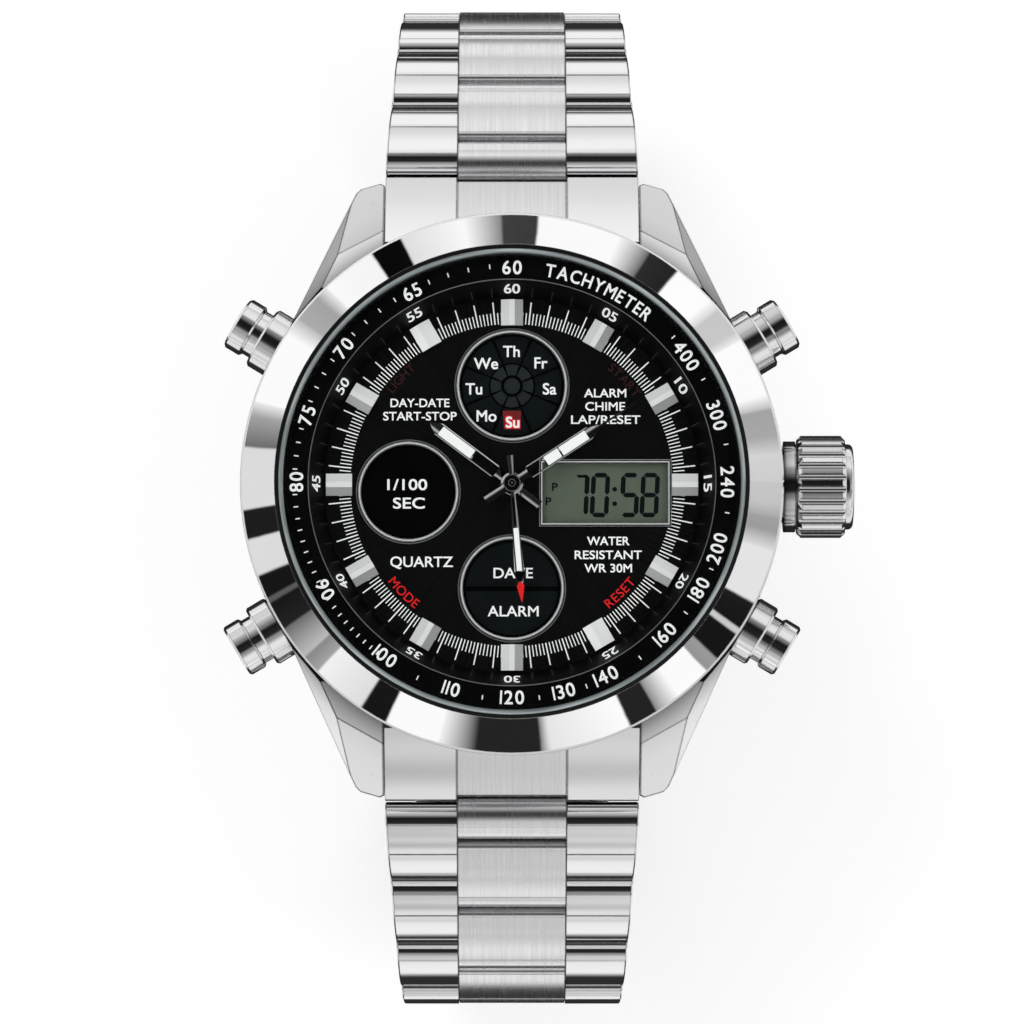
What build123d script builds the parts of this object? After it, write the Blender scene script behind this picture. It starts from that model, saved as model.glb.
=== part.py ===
from build123d import *
import math
import os

os.makedirs("parts", exist_ok=True)

# An analogue and digital wristwatch on a three-row steel bracelet, in millimetres.
# +Z is up through the dial, 12 o'clock is +Y, the crown is on +X.
# The origin is the centre of the case back's outer face. The closed bracelet loops below it.

# Case
case_r = 22.8
case_wall_t = 4.5
case_bore_r = case_r - case_wall_t
case_back_t = 1.4
case_back_r = case_r - 1.0
case_back_boss_r = case_bore_r - 0.1
case_back_boss_t = 0.7
case_back_floor_t = 1.0
back_screw_count = 4
back_screw_first = 45.0
back_screw_hole_r = 0.5
back_screw_head_r = 0.85
back_screw_r = 0.42
back_screw_low_z = 0.1
back_screw_len = 3.3
back_screw_slot_w = 0.25
back_groove_w = 0.7
back_groove_h = 0.5
case_top_z = 8.6
neck_r = case_r - 1.8
neck_h = 1.2
seat_gap = 0.05
case_edge = 0.5

# Lugs, placed from the rim of the case
lug_len = 4.0
lug_reach = case_r + lug_len
lug_gap = 22.2
lug_tip_w = 2.5
lug_side_angle = 66.7
lug_root_y = lug_reach - 17.9
lug_top_start_y = lug_reach - 9.8
lug_tip_start_y = lug_reach - 5.2
lug_top_slope = 25.5
lug_tip_normal = (0.14, 0.62, 0.77)
lug_base_z = 0.9
lug_foot_z = 0.3
lug_foot_len = 1.2
lug_corner = 0.4
lug_tip_skew = 0.5
lug_facet = 1.3
lug_facet_in = 1.04
spring_bar_inset = 2.3
spring_bar_y = lug_reach - spring_bar_inset
spring_bar_z = 3.4
spring_bar_r = 0.7
spring_bar_tip_r = 0.4
spring_bar_tip = 1.0

# Bezel, crystal and chapter ring
bezel_overhang = 0.6
bezel_r = case_r + bezel_overhang
bezel_wall_h = 1.15
bezel_edge = 0.2
bezel_top_z = 12.6
bezel_face_w = 3.05
bezel_top_r = bezel_r - bezel_face_w
bezel_lip_w = 0.35
gasket_w = 0.4
gasket_h = 1.0
crystal_r = bezel_top_r - bezel_lip_w - gasket_w
crystal_t = 1.8
crystal_seat_z = 11.4
crystal_edge = 0.4
scale_w = 2.1
slope_w = 1.25
ring_inner_r = crystal_r - scale_w
ring_foot_r = ring_inner_r - slope_w
ring_lip = 0.2
dial_r = case_bore_r - 0.2
dial_top_z = 7.8
dial_t = 0.4
dial_hole_r = 1.1
pipe_gap = 0.1

# Dial furniture
marker_len = 2.25
marker_out_r = ring_foot_r - 0.2
marker_in_r = marker_out_r - marker_len
marker_w = 1.9
marker_h = 0.5
marker_side_h = 0.275
marker_flat_w = 0.456
marker_count = 12
day_place = (0.0, 8.6)
day_r = 4.55
lap_place = (-8.95, -0.6)
lap_r = 4.1
date_place = (0.0, -8.95)
date_r = 4.25
rim_w = 0.25
rim_h = 0.2
lcd_place = (8.05, -0.7)
lcd_w = 10.8
lcd_h = 5.2
lcd_rim_w = 0.3

# Hands
hour_z = 8.6
minute_z = 9.3
second_z = 9.95
hand_t = 0.18
hand_rib = 0.15
second_rib = 0.09
hand_w = 1.15
hand_root_w = 0.66
hand_tail_w = 0.7
hand_point_w = 0.08
hub_r = 0.95
second_hub_r = 0.62
hour_angle = 143.0
hour_len = 8.9
hour_tail = 3.0
hour_windows = ((1.7, 4.1), (4.25, 7.7))
hour_shoulder = 7.9
minute_angle = 33.2
minute_len = 12.8
minute_tail = 2.7
minute_windows = ((1.7, 3.35), (3.5, 4.9), (5.05, 7.7))
minute_shoulder = 7.9
minute_point = 9.1
needle_w = 0.2
second_angle = -85.2
second_len = 9.8
second_tail = 2.4
second_root_w = 0.4
second_w = 0.62
second_wide_w = 0.85
second_tail_w = 0.6
second_windows = ((1.2, 3.7), (3.9, 7.6))
second_shoulder = 8.3

# Arbors, which run inside one another
arbor_r = 0.22
cannon_in_r = 0.28
cannon_out_r = 0.5
hour_pipe_in_r = 0.56
hour_pipe_out_r = 0.85

# Movement
movement_ring_w = 2.5
movement_ring_r = case_bore_r - 0.2
movement_r = movement_ring_r - movement_ring_w
movement_low_z = 2.2
plate_z = 5.2
plate_t = 1.1
lcd_panel_r = movement_r - 0.7
lcd_panel_t = 1.0
post_r = 0.7
bridge_pad_r = 1.12
post_ring_r = 5.6
post_angles = (95.0, 165.0, 285.0)
bridge_z = 2.9
bridge_t = 0.5
wheel_gap = 0.05
minute_axis = 2.6
minute_axis_angle = 250.0
third_axis = 2.95
third_axis_angle = 130.0
rotor_axis = 3.0
rotor_axis_angle = 20.0
channel_w = 3.4
channel_x = movement_r - 7.6
coil_r = 1.4
coil_len = 7.0
coil_y = 9.5
stator_gap = 0.03
stator_t = 0.4
stator_size = (6.4, 6.774)
stator_offset = (3.4, 2.787)
board_t = 0.4
board_edge = 0.6
clip_w = 3.0
clip_t = 0.18
clip_drop = 0.2
clip_gap = 0.3
battery_r = movement_r / 3
battery_side_gap = 2.0
battery_shift = 0.2
battery_place = (battery_side_gap + battery_r - movement_r, battery_shift - battery_r)
battery_z = 2.3
battery_t = 2.7
battery_edge = 0.3
buzzer_r = 9.0
buzzer_t = 0.2

# Wheels
hour_wheel_r = 2.0
hour_wheel_z = 4.9
minute_wheel_r = 1.9
minute_wheel_z = 4.62
centre_wheel_r = 2.4
centre_wheel_z = 4.2
centre_pinion_h = 0.64
third_wheel_r = 2.2
third_wheel_z = 3.75
seconds_wheel_r = 2.6
seconds_wheel_z = 3.45
seconds_wheel_t = 0.2
seconds_pinion_h = 0.55
wheel_t = 0.22
pivot_r = 0.18
pivot_clearance = 0.03
pivot_lift = 0.1
magnet_r = 0.8
magnet_t = 0.4
magnet_gap = 0.15

# Crown
crown_z = 5.4
crown_boss_r = 3.95
crown_boss_core_r = 3.1
crown_boss_x = case_r + 0.7
crown_boss_end = crown_boss_x + 1.0
crown_gap = 0.15
crown_r = 4.43
crown_len = 4.15
crown_cap_r = 3.7
crown_cap_len = 0.7
crown_cap_round = 0.42
crown_flutes = 26
flute_r = 0.3
crown_edge = 0.35
crown_tube_r = 1.7
stem_r = 0.6
stem_clearance = 0.05
stem_hole_gap = 0.3
stem_inner_x = movement_r - 6.6
stem_collar_r = 0.85
collar_t = 0.5
lever_x = stem_inner_x + 1.2
lever_t = 2.2
lever_h = 1.8
lever_side_gap = 0.3
crown_bore_r = 1.8
crown_bore_depth = 2.2
crown_tube_gap = 0.5
crown_wall_t = 0.8

# Pushers
pusher_angle = 31.0
pusher_boss_r = 3.0
pusher_seat = case_r + 0.5
collar_r = 2.8
collar_len = 2.0
collar_end = pusher_seat + collar_len
pusher_travel = 0.8
barrel_r = 2.12
barrel_clearance = 0.06
barrel_len = 0.9
cap_r = 2.4
cap_start = collar_end + pusher_travel
cap_len = 1.7
cap_end = cap_start + cap_len
cap_edge = 0.2
pusher_stem_r = 0.7
pusher_stem_in = case_bore_r + 0.7
tube_r = 1.9
tube_in = case_bore_r + 2.3
spring_wire = 0.11
spring_coil_r = 1.3
spring_seat = tube_in + 1.0
spring_chamber_r = 1.6
spring_turns = 4
stem_ring_w = 0.6
stem_ring_t = 0.3

# Bracelet
link_pitch = 8.0
link_r = 1.6
link_gap = 0.12
centre_share = 0.436
centre_side_gap = 0.05
width_at_lugs = lug_gap - 0.4
width_at_clasp = width_at_lugs - 3.8
centre_w = centre_share * width_at_lugs
pin_r = 0.55
pin_clearance = 0.06
pin_recess = 0.25
link_edge = 0.1
link_crown = 0.2
centre_crown = 0.135
rivet_r = 0.5
bead_w = 0.62
bead_gap = 0.36
bead_top = 1.5
bead_foot = 1.15
round_end_x = 0.4
body_root_x = -0.78
end_link_proud = 0.3
end_link_reach = lug_reach + end_link_proud
end_link_gap = 0.1
end_link_centre_step = 0.4
end_link_groove = 0.12
end_link_groove_depth = 0.3
end_low_z = 1.3
end_step_h = 0.1
end_bow = 0.25
end_eye_rise = 0.5
first_pin_z = 2.9
loop_slopes = [43.0, 48.0, 68.0, 90.0, 110.0, 130.0, 150.0, 166.0]

# Fold-over clasp
clasp_plate_t = 1.0
clasp_depth = 2.1
clasp_wall_t = 0.9
clasp_wall_top = 1.5
clasp_edge = 0.4
clasp_gap = 0.4
clasp_block_len = 3.0
blade_t = 0.85
outer_blade_w = width_at_clasp - 5.0
inner_blade_w = outer_blade_w - 4.0
hinge_inset = 6.2
hinge_drop = 0.25
hinge_knuckle_r = 0.8
fold_inset = 8.6
fold_rise = 0.27
fold_knuckle_r = 0.95
fold_tongue_w = inner_blade_w - 4.0
clasp_pin_r = 0.45
clasp_pin_recess = 0.2
blade_gap = 0.1
open_pivot_gap = 0.4

# Levels and radii that follow
neck_top_z = case_top_z + neck_h
back_screw_ring_r = (case_back_r + case_bore_r) / 2
bezel_low_z = case_top_z + seat_gap
ring_top_z = crystal_seat_z - 0.2
ring_flange_r = crystal_r
dial_low_z = dial_top_z - dial_t
lcd_low_z = dial_low_z - seat_gap - lcd_panel_t
pivot_low_z = bridge_z + pivot_lift
stator_z = seconds_wheel_z + wheel_t + stator_gap
end_face_top_z = first_pin_z + link_r + end_step_h
end_top_z = case_top_z - end_link_gap
end_mid = ((neck_r + end_link_reach) / 2, (end_top_z + end_face_top_z) / 2 + end_bow)
end_link_half = lug_gap / 2 - end_link_gap
end_link_centre_y = end_link_reach - end_link_centre_step
first_pin_y = end_link_reach + link_r + link_gap
lug_in_x = lug_gap / 2
lug_out_x = lug_in_x + lug_tip_w
crown_base_x = crown_boss_end + crown_gap


def finish(builder, label):
    """Name a finished piece and write it."""
    builder.part.label = label
    export_step(builder.part, "parts/" + label + ".step")


def disc(radius, z, thickness):
    """A plain disc, added to the part that is being built."""
    with BuildSketch(Plane.XY.offset(z)) as outline:
        Circle(radius)
    extrude(outline.sketch, amount=thickness)


def hole(radius, z, thickness):
    """A round hole on the centre line, cut from the part that is being built."""
    with BuildSketch(Plane.XY.offset(z)) as outline:
        Circle(radius)
    extrude(outline.sketch, amount=thickness, mode=Mode.SUBTRACT)


def radial_plane(angle, distance):
    """The plane square to a line that leaves the case at crown height, at this angle in degrees."""
    turn = math.radians(angle)
    outward = (math.cos(turn), math.sin(turn), 0)
    origin = (distance * outward[0], distance * outward[1], crown_z)
    return Plane(origin=origin, x_dir=(-outward[1], outward[0], 0), z_dir=outward)


pusher_angles = {
    "pusher_2": pusher_angle,
    "pusher_10": 180 - pusher_angle,
    "pusher_8": 180 + pusher_angle,
    "pusher_4": -pusher_angle,
}

# Lug, one quarter: its plan, cut to the side view and then to the sloping tip panel
side_rise = math.tan(math.radians(lug_side_angle))
lug_root_x = lug_out_x + (lug_reach - lug_root_y) / side_rise
lug_slope_rate = math.tan(math.radians(lug_top_slope))
lug_tip_top_z = case_top_z - (lug_reach - lug_top_start_y) * lug_slope_rate
tip_start_z = case_top_z - (lug_tip_start_y - lug_top_start_y) * lug_slope_rate

with BuildPart() as lug:
    with BuildSketch(Plane.XY):
        Polygon(
            (lug_in_x, lug_root_y),
            (lug_root_x, lug_root_y),
            (lug_out_x, lug_reach - lug_tip_skew - lug_corner),
            (lug_out_x - lug_corner, lug_reach - lug_tip_skew),
            (lug_in_x + lug_corner, lug_reach),
            (lug_in_x, lug_reach - lug_corner / 2),
            align=None,
        )
    extrude(amount=case_top_z)
    with BuildSketch(Plane.YZ):
        Polygon(
            (lug_root_y, case_back_t),
            (lug_root_y, case_top_z),
            (lug_top_start_y, case_top_z),
            (lug_reach, lug_tip_top_z),
            (lug_reach, lug_base_z),
            (lug_reach - lug_foot_len, lug_foot_z),
            (lug_top_start_y + lug_tip_w, case_back_t),
            align=None,
        )
    extrude(amount=lug_root_x + 1, mode=Mode.INTERSECT)
    side_edges = lug.edges().filter_by(
        lambda edge: edge.center().Z > case_top_z / 2
        and edge.center().X > lug_in_x + lug_tip_w / 2
        and abs(edge.tangent_at(0.5).Y) > 0.5
        and edge.center().Y > lug_top_start_y
    )
    chamfer(side_edges, length=lug_facet, length2=lug_facet_in)
    split(
        bisect_by=Plane(
            origin=((lug_in_x + lug_out_x) / 2, lug_tip_start_y, tip_start_z), z_dir=lug_tip_normal
        ),
        keep=Keep.BOTTOM,
    )

# Middle case with its four lugs, the crown boss and the pusher seats
with BuildPart() as mid_case:
    disc(case_r, case_back_t, case_top_z - case_back_t)
    chamfer(mid_case.edges().group_by(Axis.Z)[0], length=case_edge)
    disc(neck_r, case_top_z, neck_h)
    for flip_x in (False, True):
        for flip_y in (False, True):
            quarter = lug.part
            if flip_x:
                quarter = quarter.mirror(Plane.YZ)
            if flip_y:
                quarter = quarter.mirror(Plane.XZ)
            add(quarter)
    with BuildSketch(radial_plane(0, case_bore_r + 1)):
        Circle(crown_boss_core_r)
    extrude(amount=crown_boss_end - case_bore_r - 1)
    with BuildSketch(radial_plane(0, crown_boss_x)):
        Circle(crown_boss_r)
    extrude(amount=crown_boss_end - crown_boss_x)
    for angle in pusher_angles.values():
        with BuildSketch(radial_plane(angle, case_bore_r + 1)):
            Circle(pusher_boss_r)
        extrude(amount=pusher_seat - case_bore_r - 1)
    hole(case_bore_r, 0, neck_top_z + 1)
    with BuildSketch(radial_plane(0, case_bore_r - 1)):
        Circle(crown_tube_r)
    extrude(amount=crown_boss_end, mode=Mode.SUBTRACT)
    for angle in pusher_angles.values():
        with BuildSketch(radial_plane(angle, case_bore_r - 1)):
            Circle(tube_r)
        extrude(amount=pusher_seat, mode=Mode.SUBTRACT)
        with BuildSketch(radial_plane(angle, pusher_seat)):
            Circle(collar_r + seat_gap)
        extrude(amount=pusher_seat, mode=Mode.SUBTRACT)
    for side in (-1, 1):
        with BuildSketch(Plane.YZ.offset(-lug_in_x - spring_bar_tip)):
            with Locations((side * spring_bar_y, spring_bar_z)):
                Circle(spring_bar_tip_r + seat_gap)
        extrude(amount=lug_gap + 2 * spring_bar_tip, mode=Mode.SUBTRACT)
    with BuildSketch(Plane.XY.offset(case_back_t)):
        with PolarLocations(back_screw_ring_r, back_screw_count, start_angle=back_screw_first):
            Circle(back_screw_hole_r)
    extrude(amount=back_screw_len, mode=Mode.SUBTRACT)
    with BuildSketch(Plane.XY.offset(case_back_t)):
        Circle(case_bore_r + back_groove_w)
        Circle(case_bore_r, mode=Mode.SUBTRACT)
    extrude(amount=back_groove_h, mode=Mode.SUBTRACT)
finish(mid_case, "mid_case")

# Bezel: a wide polished cone over the neck
with BuildPart() as bezel:
    with BuildSketch(Plane.XZ):
        Polygon(
            (neck_r + seat_gap, bezel_low_z),
            (bezel_r - bezel_edge, bezel_low_z),
            (bezel_r, bezel_low_z + bezel_edge),
            (bezel_r, bezel_low_z + bezel_wall_h),
            (bezel_r - bezel_edge, bezel_low_z + bezel_wall_h + bezel_edge),
            (bezel_top_r, bezel_top_z),
            (crystal_r + gasket_w, bezel_top_z),
            (crystal_r + gasket_w, crystal_seat_z),
            (crystal_r + seat_gap, crystal_seat_z),
            (crystal_r + seat_gap, neck_top_z + seat_gap),
            (neck_r + seat_gap, neck_top_z + seat_gap),
            align=None,
        )
    revolve(axis=Axis.Z)
finish(bezel, "bezel")

with BuildPart() as crystal:
    disc(crystal_r, crystal_seat_z, crystal_t)
    chamfer(crystal.edges().group_by(Axis.Z)[-1], length=crystal_edge)
finish(crystal, "crystal")

with BuildPart() as gaskets:
    with BuildSketch(Plane.XY.offset(crystal_seat_z)):
        Circle(crystal_r + gasket_w)
        Circle(crystal_r, mode=Mode.SUBTRACT)
    extrude(amount=gasket_h)
    with BuildSketch(Plane.XY.offset(case_back_t)):
        Circle(case_bore_r + back_groove_w - seat_gap)
        Circle(case_bore_r + 2 * seat_gap, mode=Mode.SUBTRACT)
    extrude(amount=back_groove_h - seat_gap)
finish(gaskets, "gaskets")

# Chapter ring with the tachymeter scale: a flat top and a slope down to the dial
with BuildPart() as tachymeter_ring:
    with BuildSketch(Plane.XZ):
        Polygon(
            (ring_foot_r, dial_top_z + seat_gap),
            (ring_inner_r, ring_top_z - ring_lip),
            (ring_inner_r, ring_top_z),
            (ring_flange_r, ring_top_z),
            (ring_flange_r, neck_top_z + seat_gap),
            (case_bore_r - 2 * seat_gap, neck_top_z + seat_gap),
            (case_bore_r - 2 * seat_gap, dial_top_z + seat_gap),
            align=None,
        )
    revolve(axis=Axis.Z)
finish(tachymeter_ring, "tachymeter_ring")

# Dial with a centre hole and a window over each part of the display
with BuildPart() as dial:
    disc(dial_r, dial_low_z, dial_t)
    with BuildSketch(Plane.XY.offset(dial_low_z)):
        Circle(dial_hole_r)
        with Locations(day_place):
            Circle(day_r)
        with Locations(lap_place):
            Circle(lap_r)
        with Locations(date_place):
            Circle(date_r)
        with Locations(lcd_place):
            Rectangle(lcd_w, lcd_h)
    extrude(amount=dial_t, mode=Mode.SUBTRACT)
finish(dial, "dial")

# Applied hour markers: bars with a roof-shaped top
with BuildPart() as hour_markers:
    for index in range(marker_count):
        turn = 360 / marker_count * index
        outward = Vector(1, 0, 0).rotate(Axis.Z, turn)
        across = Vector(0, 1, 0).rotate(Axis.Z, turn)
        start = outward * marker_in_r + Vector(0, 0, dial_top_z)
        with BuildSketch(Plane(origin=start, x_dir=across, z_dir=outward)):
            Polygon(
                (-marker_w / 2, 0),
                (marker_w / 2, 0),
                (marker_w / 2, marker_side_h),
                (marker_flat_w / 2, marker_h),
                (-marker_flat_w / 2, marker_h),
                (-marker_w / 2, marker_side_h),
                align=None,
            )
        extrude(amount=marker_out_r - marker_in_r)
finish(hour_markers, "hour_markers")

# Polished frames around the four display windows
with BuildPart() as dial_frames:
    with BuildSketch(Plane.XY.offset(dial_top_z)):
        for place, radius in ((day_place, day_r), (lap_place, lap_r), (date_place, date_r)):
            with Locations(place):
                Circle(radius + rim_w)
                Circle(radius, mode=Mode.SUBTRACT)
        with Locations(lcd_place):
            Rectangle(lcd_w + 2 * lcd_rim_w, lcd_h + 2 * lcd_rim_w)
            Rectangle(lcd_w, lcd_h, mode=Mode.SUBTRACT)
    extrude(amount=rim_h)
finish(dial_frames, "dial_frames")

with BuildPart() as lcd_panel:
    disc(lcd_panel_r, lcd_low_z, lcd_panel_t)
    hole(dial_hole_r + pipe_gap, lcd_low_z, lcd_panel_t)
finish(lcd_panel, "lcd_panel")


def hand_plane(angle, z):
    """A plane at a hand's level whose X axis points along the hand."""
    turn = math.radians(angle)
    return Plane(origin=(0, 0, z), x_dir=(math.cos(turn), math.sin(turn), 0), z_dir=(0, 0, 1))


def windowed_hand(label, z, angle, outline, windows, hub, bore):
    """A hand: half its outline as (distance, half width), window frames and a round hub."""
    mirrored = [(x, -half) for x, half in reversed(outline)]
    with BuildPart() as hand:
        with BuildSketch(hand_plane(angle, z)):
            Polygon(*outline, *mirrored, align=None)
            for start, end, half in windows:
                with Locations(((start + end) / 2, 0)):
                    Rectangle(end - start, 2 * half, mode=Mode.SUBTRACT)
            Circle(hub)
            Circle(bore, mode=Mode.SUBTRACT)
        extrude(amount=hand_t)
    finish(hand, label)


window_half = hand_w / 2 - hand_rib
windowed_hand(
    "hour_hand",
    hour_z,
    hour_angle,
    [
        (-hour_tail, hand_tail_w / 2),
        (0, hand_root_w / 2),
        (hour_windows[0][0] - hand_rib, hand_root_w / 2),
        (hour_windows[0][0] + hand_rib, hand_w / 2),
        (hour_shoulder, hand_w / 2),
        (hour_len, hand_point_w / 2),
    ],
    [(start, end, window_half) for start, end in hour_windows],
    hub_r,
    hour_pipe_out_r,
)
windowed_hand(
    "minute_hand",
    minute_z,
    minute_angle,
    [
        (-minute_tail, hand_tail_w / 2),
        (0, hand_root_w / 2),
        (minute_windows[0][0] - hand_rib, hand_root_w / 2),
        (minute_windows[0][0] + hand_rib, hand_w / 2),
        (minute_shoulder, hand_w / 2),
        (minute_point, needle_w / 2),
        (minute_len, hand_point_w / 2),
    ],
    [(start, end, window_half) for start, end in minute_windows],
    hub_r,
    cannon_out_r,
)
windowed_hand(
    "second_hand",
    second_z,
    second_angle,
    [
        (-second_tail, second_tail_w / 2),
        (-second_tail / 3, second_root_w / 2),
        (second_windows[0][0] - hand_rib, second_root_w / 2),
        (second_windows[0][1], second_w / 2),
        (second_windows[1][1], second_wide_w / 2),
        (second_shoulder, second_w / 2),
        (second_len, hand_point_w / 2),
    ],
    [
        (second_windows[0][0], second_windows[0][1], second_root_w / 2 - second_rib),
        (second_windows[1][0], second_windows[1][1], second_w / 2 - second_rib),
    ],
    second_hub_r,
    arbor_r,
)


def pipe(inner, outer, z, height):
    """A pipe on the centre line, added to the part that is being built."""
    with BuildSketch(Plane.XY.offset(z)) as outline:
        Circle(outer)
        if inner > 0:
            Circle(inner, mode=Mode.SUBTRACT)
    extrude(outline.sketch, amount=height)


def wheel_at(distance, angle, levels):
    """A wheel and its pinion on one arbor: levels lists (radius, low z, thickness)."""
    turn = math.radians(angle)
    place = (distance * math.cos(turn), distance * math.sin(turn))
    with BuildPart() as wheel:
        for radius, low_z, thickness in levels:
            with BuildSketch(Plane.XY.offset(low_z)):
                with Locations(place):
                    Circle(radius)
            extrude(amount=thickness)
    return wheel


# Going train and motion work, from the hour wheel down to the rotor
with BuildPart() as hour_wheel:
    pipe(hour_pipe_in_r, hour_wheel_r, hour_wheel_z, wheel_t)
    pipe(hour_pipe_in_r, hour_pipe_out_r, hour_wheel_z, hour_z + hand_t - hour_wheel_z)
finish(hour_wheel, "hour_wheel")

with BuildPart() as centre_wheel:
    pipe(cannon_in_r, centre_wheel_r, centre_wheel_z, wheel_t)
    pipe(cannon_in_r, minute_axis - minute_wheel_r - wheel_gap, centre_wheel_z, centre_pinion_h)
    pipe(cannon_in_r, cannon_out_r, centre_wheel_z, minute_z + hand_t - centre_wheel_z)
finish(centre_wheel, "centre_wheel")

with BuildPart() as seconds_wheel:
    pipe(0, seconds_wheel_r, seconds_wheel_z, seconds_wheel_t)
    pipe(0, third_axis - third_wheel_r - wheel_gap, seconds_wheel_z, seconds_pinion_h)
    pipe(0, arbor_r, pivot_low_z, second_z + hand_t - pivot_low_z)
finish(seconds_wheel, "seconds_wheel")

minute_pinion_r = minute_axis - hour_wheel_r - wheel_gap
minute_wheel = wheel_at(
    minute_axis,
    minute_axis_angle,
    [
        (minute_wheel_r, minute_wheel_z, wheel_t),
        (minute_pinion_r, minute_wheel_z, hour_wheel_z - minute_wheel_z + wheel_t),
        (pivot_r, minute_wheel_z, plate_z + plate_t / 2 - minute_wheel_z),
    ],
)
finish(minute_wheel, "minute_wheel")

third_pinion_r = third_axis - centre_wheel_r - wheel_gap
third_wheel = wheel_at(
    third_axis,
    third_axis_angle,
    [
        (pivot_r, pivot_low_z, third_wheel_z - bridge_z),
        (third_wheel_r, third_wheel_z, wheel_t),
        (third_pinion_r, third_wheel_z, centre_wheel_z - third_wheel_z + wheel_t),
    ],
)
finish(third_wheel, "third_wheel")

rotor = wheel_at(
    rotor_axis,
    rotor_axis_angle,
    [
        (pivot_r, pivot_low_z, seconds_wheel_z - bridge_z),
        (rotor_axis - seconds_wheel_r - wheel_gap, seconds_wheel_z, wheel_t),
        (magnet_r, seconds_wheel_z + wheel_t, magnet_t),
    ],
)
finish(rotor, "rotor")

# Main plate: it carries the display above it and the train below it
with BuildPart() as main_plate:
    disc(movement_r, plate_z, plate_t)
    with BuildSketch(Plane.XY.offset(bridge_z + bridge_t)):
        for angle in post_angles:
            with PolarLocations(post_ring_r, 1, start_angle=angle):
                Circle(post_r)
    extrude(amount=plate_z - bridge_z - bridge_t)
    hole(hour_pipe_out_r + pipe_gap, plate_z, plate_t)
    turn = math.radians(minute_axis_angle)
    with BuildSketch(Plane.XY.offset(plate_z)):
        with Locations((minute_axis * math.cos(turn), minute_axis * math.sin(turn))):
            Circle(pivot_r + pivot_clearance)
        with Locations(((channel_x + movement_r) / 2 + 0.5, 0)):
            Rectangle(movement_r - channel_x + 1, channel_w)
    extrude(amount=plate_t, mode=Mode.SUBTRACT)
finish(main_plate, "main_plate")

rotor_turn = math.radians(rotor_axis_angle)
rotor_place = (rotor_axis * math.cos(rotor_turn), rotor_axis * math.sin(rotor_turn))
third_turn = math.radians(third_axis_angle)
third_place = (third_axis * math.cos(third_turn), third_axis * math.sin(third_turn))
with BuildPart() as train_bridge:
    with BuildSketch(Plane.XY.offset(bridge_z)):
        Circle(post_ring_r - 2 * post_r)
        for angle in post_angles:
            with PolarLocations(post_ring_r, 1, start_angle=angle):
                Circle(bridge_pad_r)
            with PolarLocations(post_ring_r / 2, 1, start_angle=angle):
                Rectangle(post_ring_r, 2 * post_r)
    extrude(amount=bridge_t)
    with BuildSketch(Plane.XY.offset(bridge_z + pivot_lift / 2)):
        Circle(arbor_r + pivot_clearance)
        with Locations(rotor_place, third_place):
            Circle(pivot_r + pivot_clearance)
    extrude(amount=bridge_t, mode=Mode.SUBTRACT)
finish(train_bridge, "train_bridge")

# Stepping motor: a stator plate round the rotor and a coil on its core
with BuildPart() as stepper_coil:
    with BuildSketch(Plane.XY.offset(stator_z)):
        with Locations((rotor_place[0] + stator_offset[0], rotor_place[1] + stator_offset[1])):
            Rectangle(*stator_size)
        with Locations(rotor_place):
            Circle(magnet_r + magnet_gap, mode=Mode.SUBTRACT)
        Circle(third_axis - third_wheel_r + 2 * wheel_gap, mode=Mode.SUBTRACT)
    extrude(amount=stator_t)
    with BuildSketch(Plane.YZ.offset(rotor_place[0] + stator_t)):
        with Locations((coil_y, stator_z - stator_t / 2)):
            Circle(coil_r)
    extrude(amount=coil_len)
finish(stepper_coil, "stepper_coil")

with BuildPart() as battery:
    with BuildSketch(Plane.XY.offset(battery_z)):
        with Locations(battery_place):
            Circle(battery_r)
    extrude(amount=battery_t)
    chamfer(battery.edges().group_by(Axis.Z)[0], length=battery_edge)
finish(battery, "battery")

with BuildPart() as battery_clip:
    with BuildSketch(Plane.XY.offset(battery_z - clip_drop)):
        with Locations((battery_place[0], battery_place[1])):
            Rectangle(clip_w, 2 * (battery_r + 2 * clip_gap))
    extrude(amount=clip_t)
    with BuildSketch(Plane.XY.offset(battery_z - clip_drop)):
        with Locations((battery_place[0], battery_place[1] + battery_r + 1.5 * clip_gap)):
            Rectangle(clip_w, clip_gap)
    extrude(amount=plate_z - battery_z + clip_drop)
finish(battery_clip, "battery_clip")

# Circuit board: a crescent under the main plate, clear of the train and the battery
with BuildPart() as circuit_board:
    with BuildSketch(Plane.XY.offset(plate_z - board_t)):
        Circle(movement_r - board_edge)
        Circle(post_ring_r + 2 * post_r, mode=Mode.SUBTRACT)
        with Locations(battery_place):
            Circle(battery_r + 1.5 * board_edge, mode=Mode.SUBTRACT)
        with Locations((battery_place[0], battery_place[1] + battery_r)):
            Rectangle(clip_w + board_edge, 4 * board_edge, mode=Mode.SUBTRACT)
        with Locations((movement_r, 0)):
            Rectangle(2 * movement_r, channel_w + 2 * board_edge, mode=Mode.SUBTRACT)
        with Locations((rotor_place[0] + coil_len / 2, coil_y)):
            Rectangle(coil_len + coil_r, 2 * coil_r + board_edge, mode=Mode.SUBTRACT)
    extrude(amount=board_t)
finish(circuit_board, "circuit_board")

# Movement ring: it holds the movement in the case and the stems pass through it
with BuildPart() as movement_ring:
    with BuildSketch(Plane.XY.offset(movement_low_z)):
        Circle(movement_ring_r)
        Circle(movement_r + seat_gap, mode=Mode.SUBTRACT)
    extrude(amount=dial_low_z - seat_gap - movement_low_z)
    with BuildSketch(radial_plane(0, movement_r - 1)):
        Circle(stem_r + stem_hole_gap)
    extrude(amount=movement_ring_w + 2, mode=Mode.SUBTRACT)
finish(movement_ring, "movement_ring")

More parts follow.
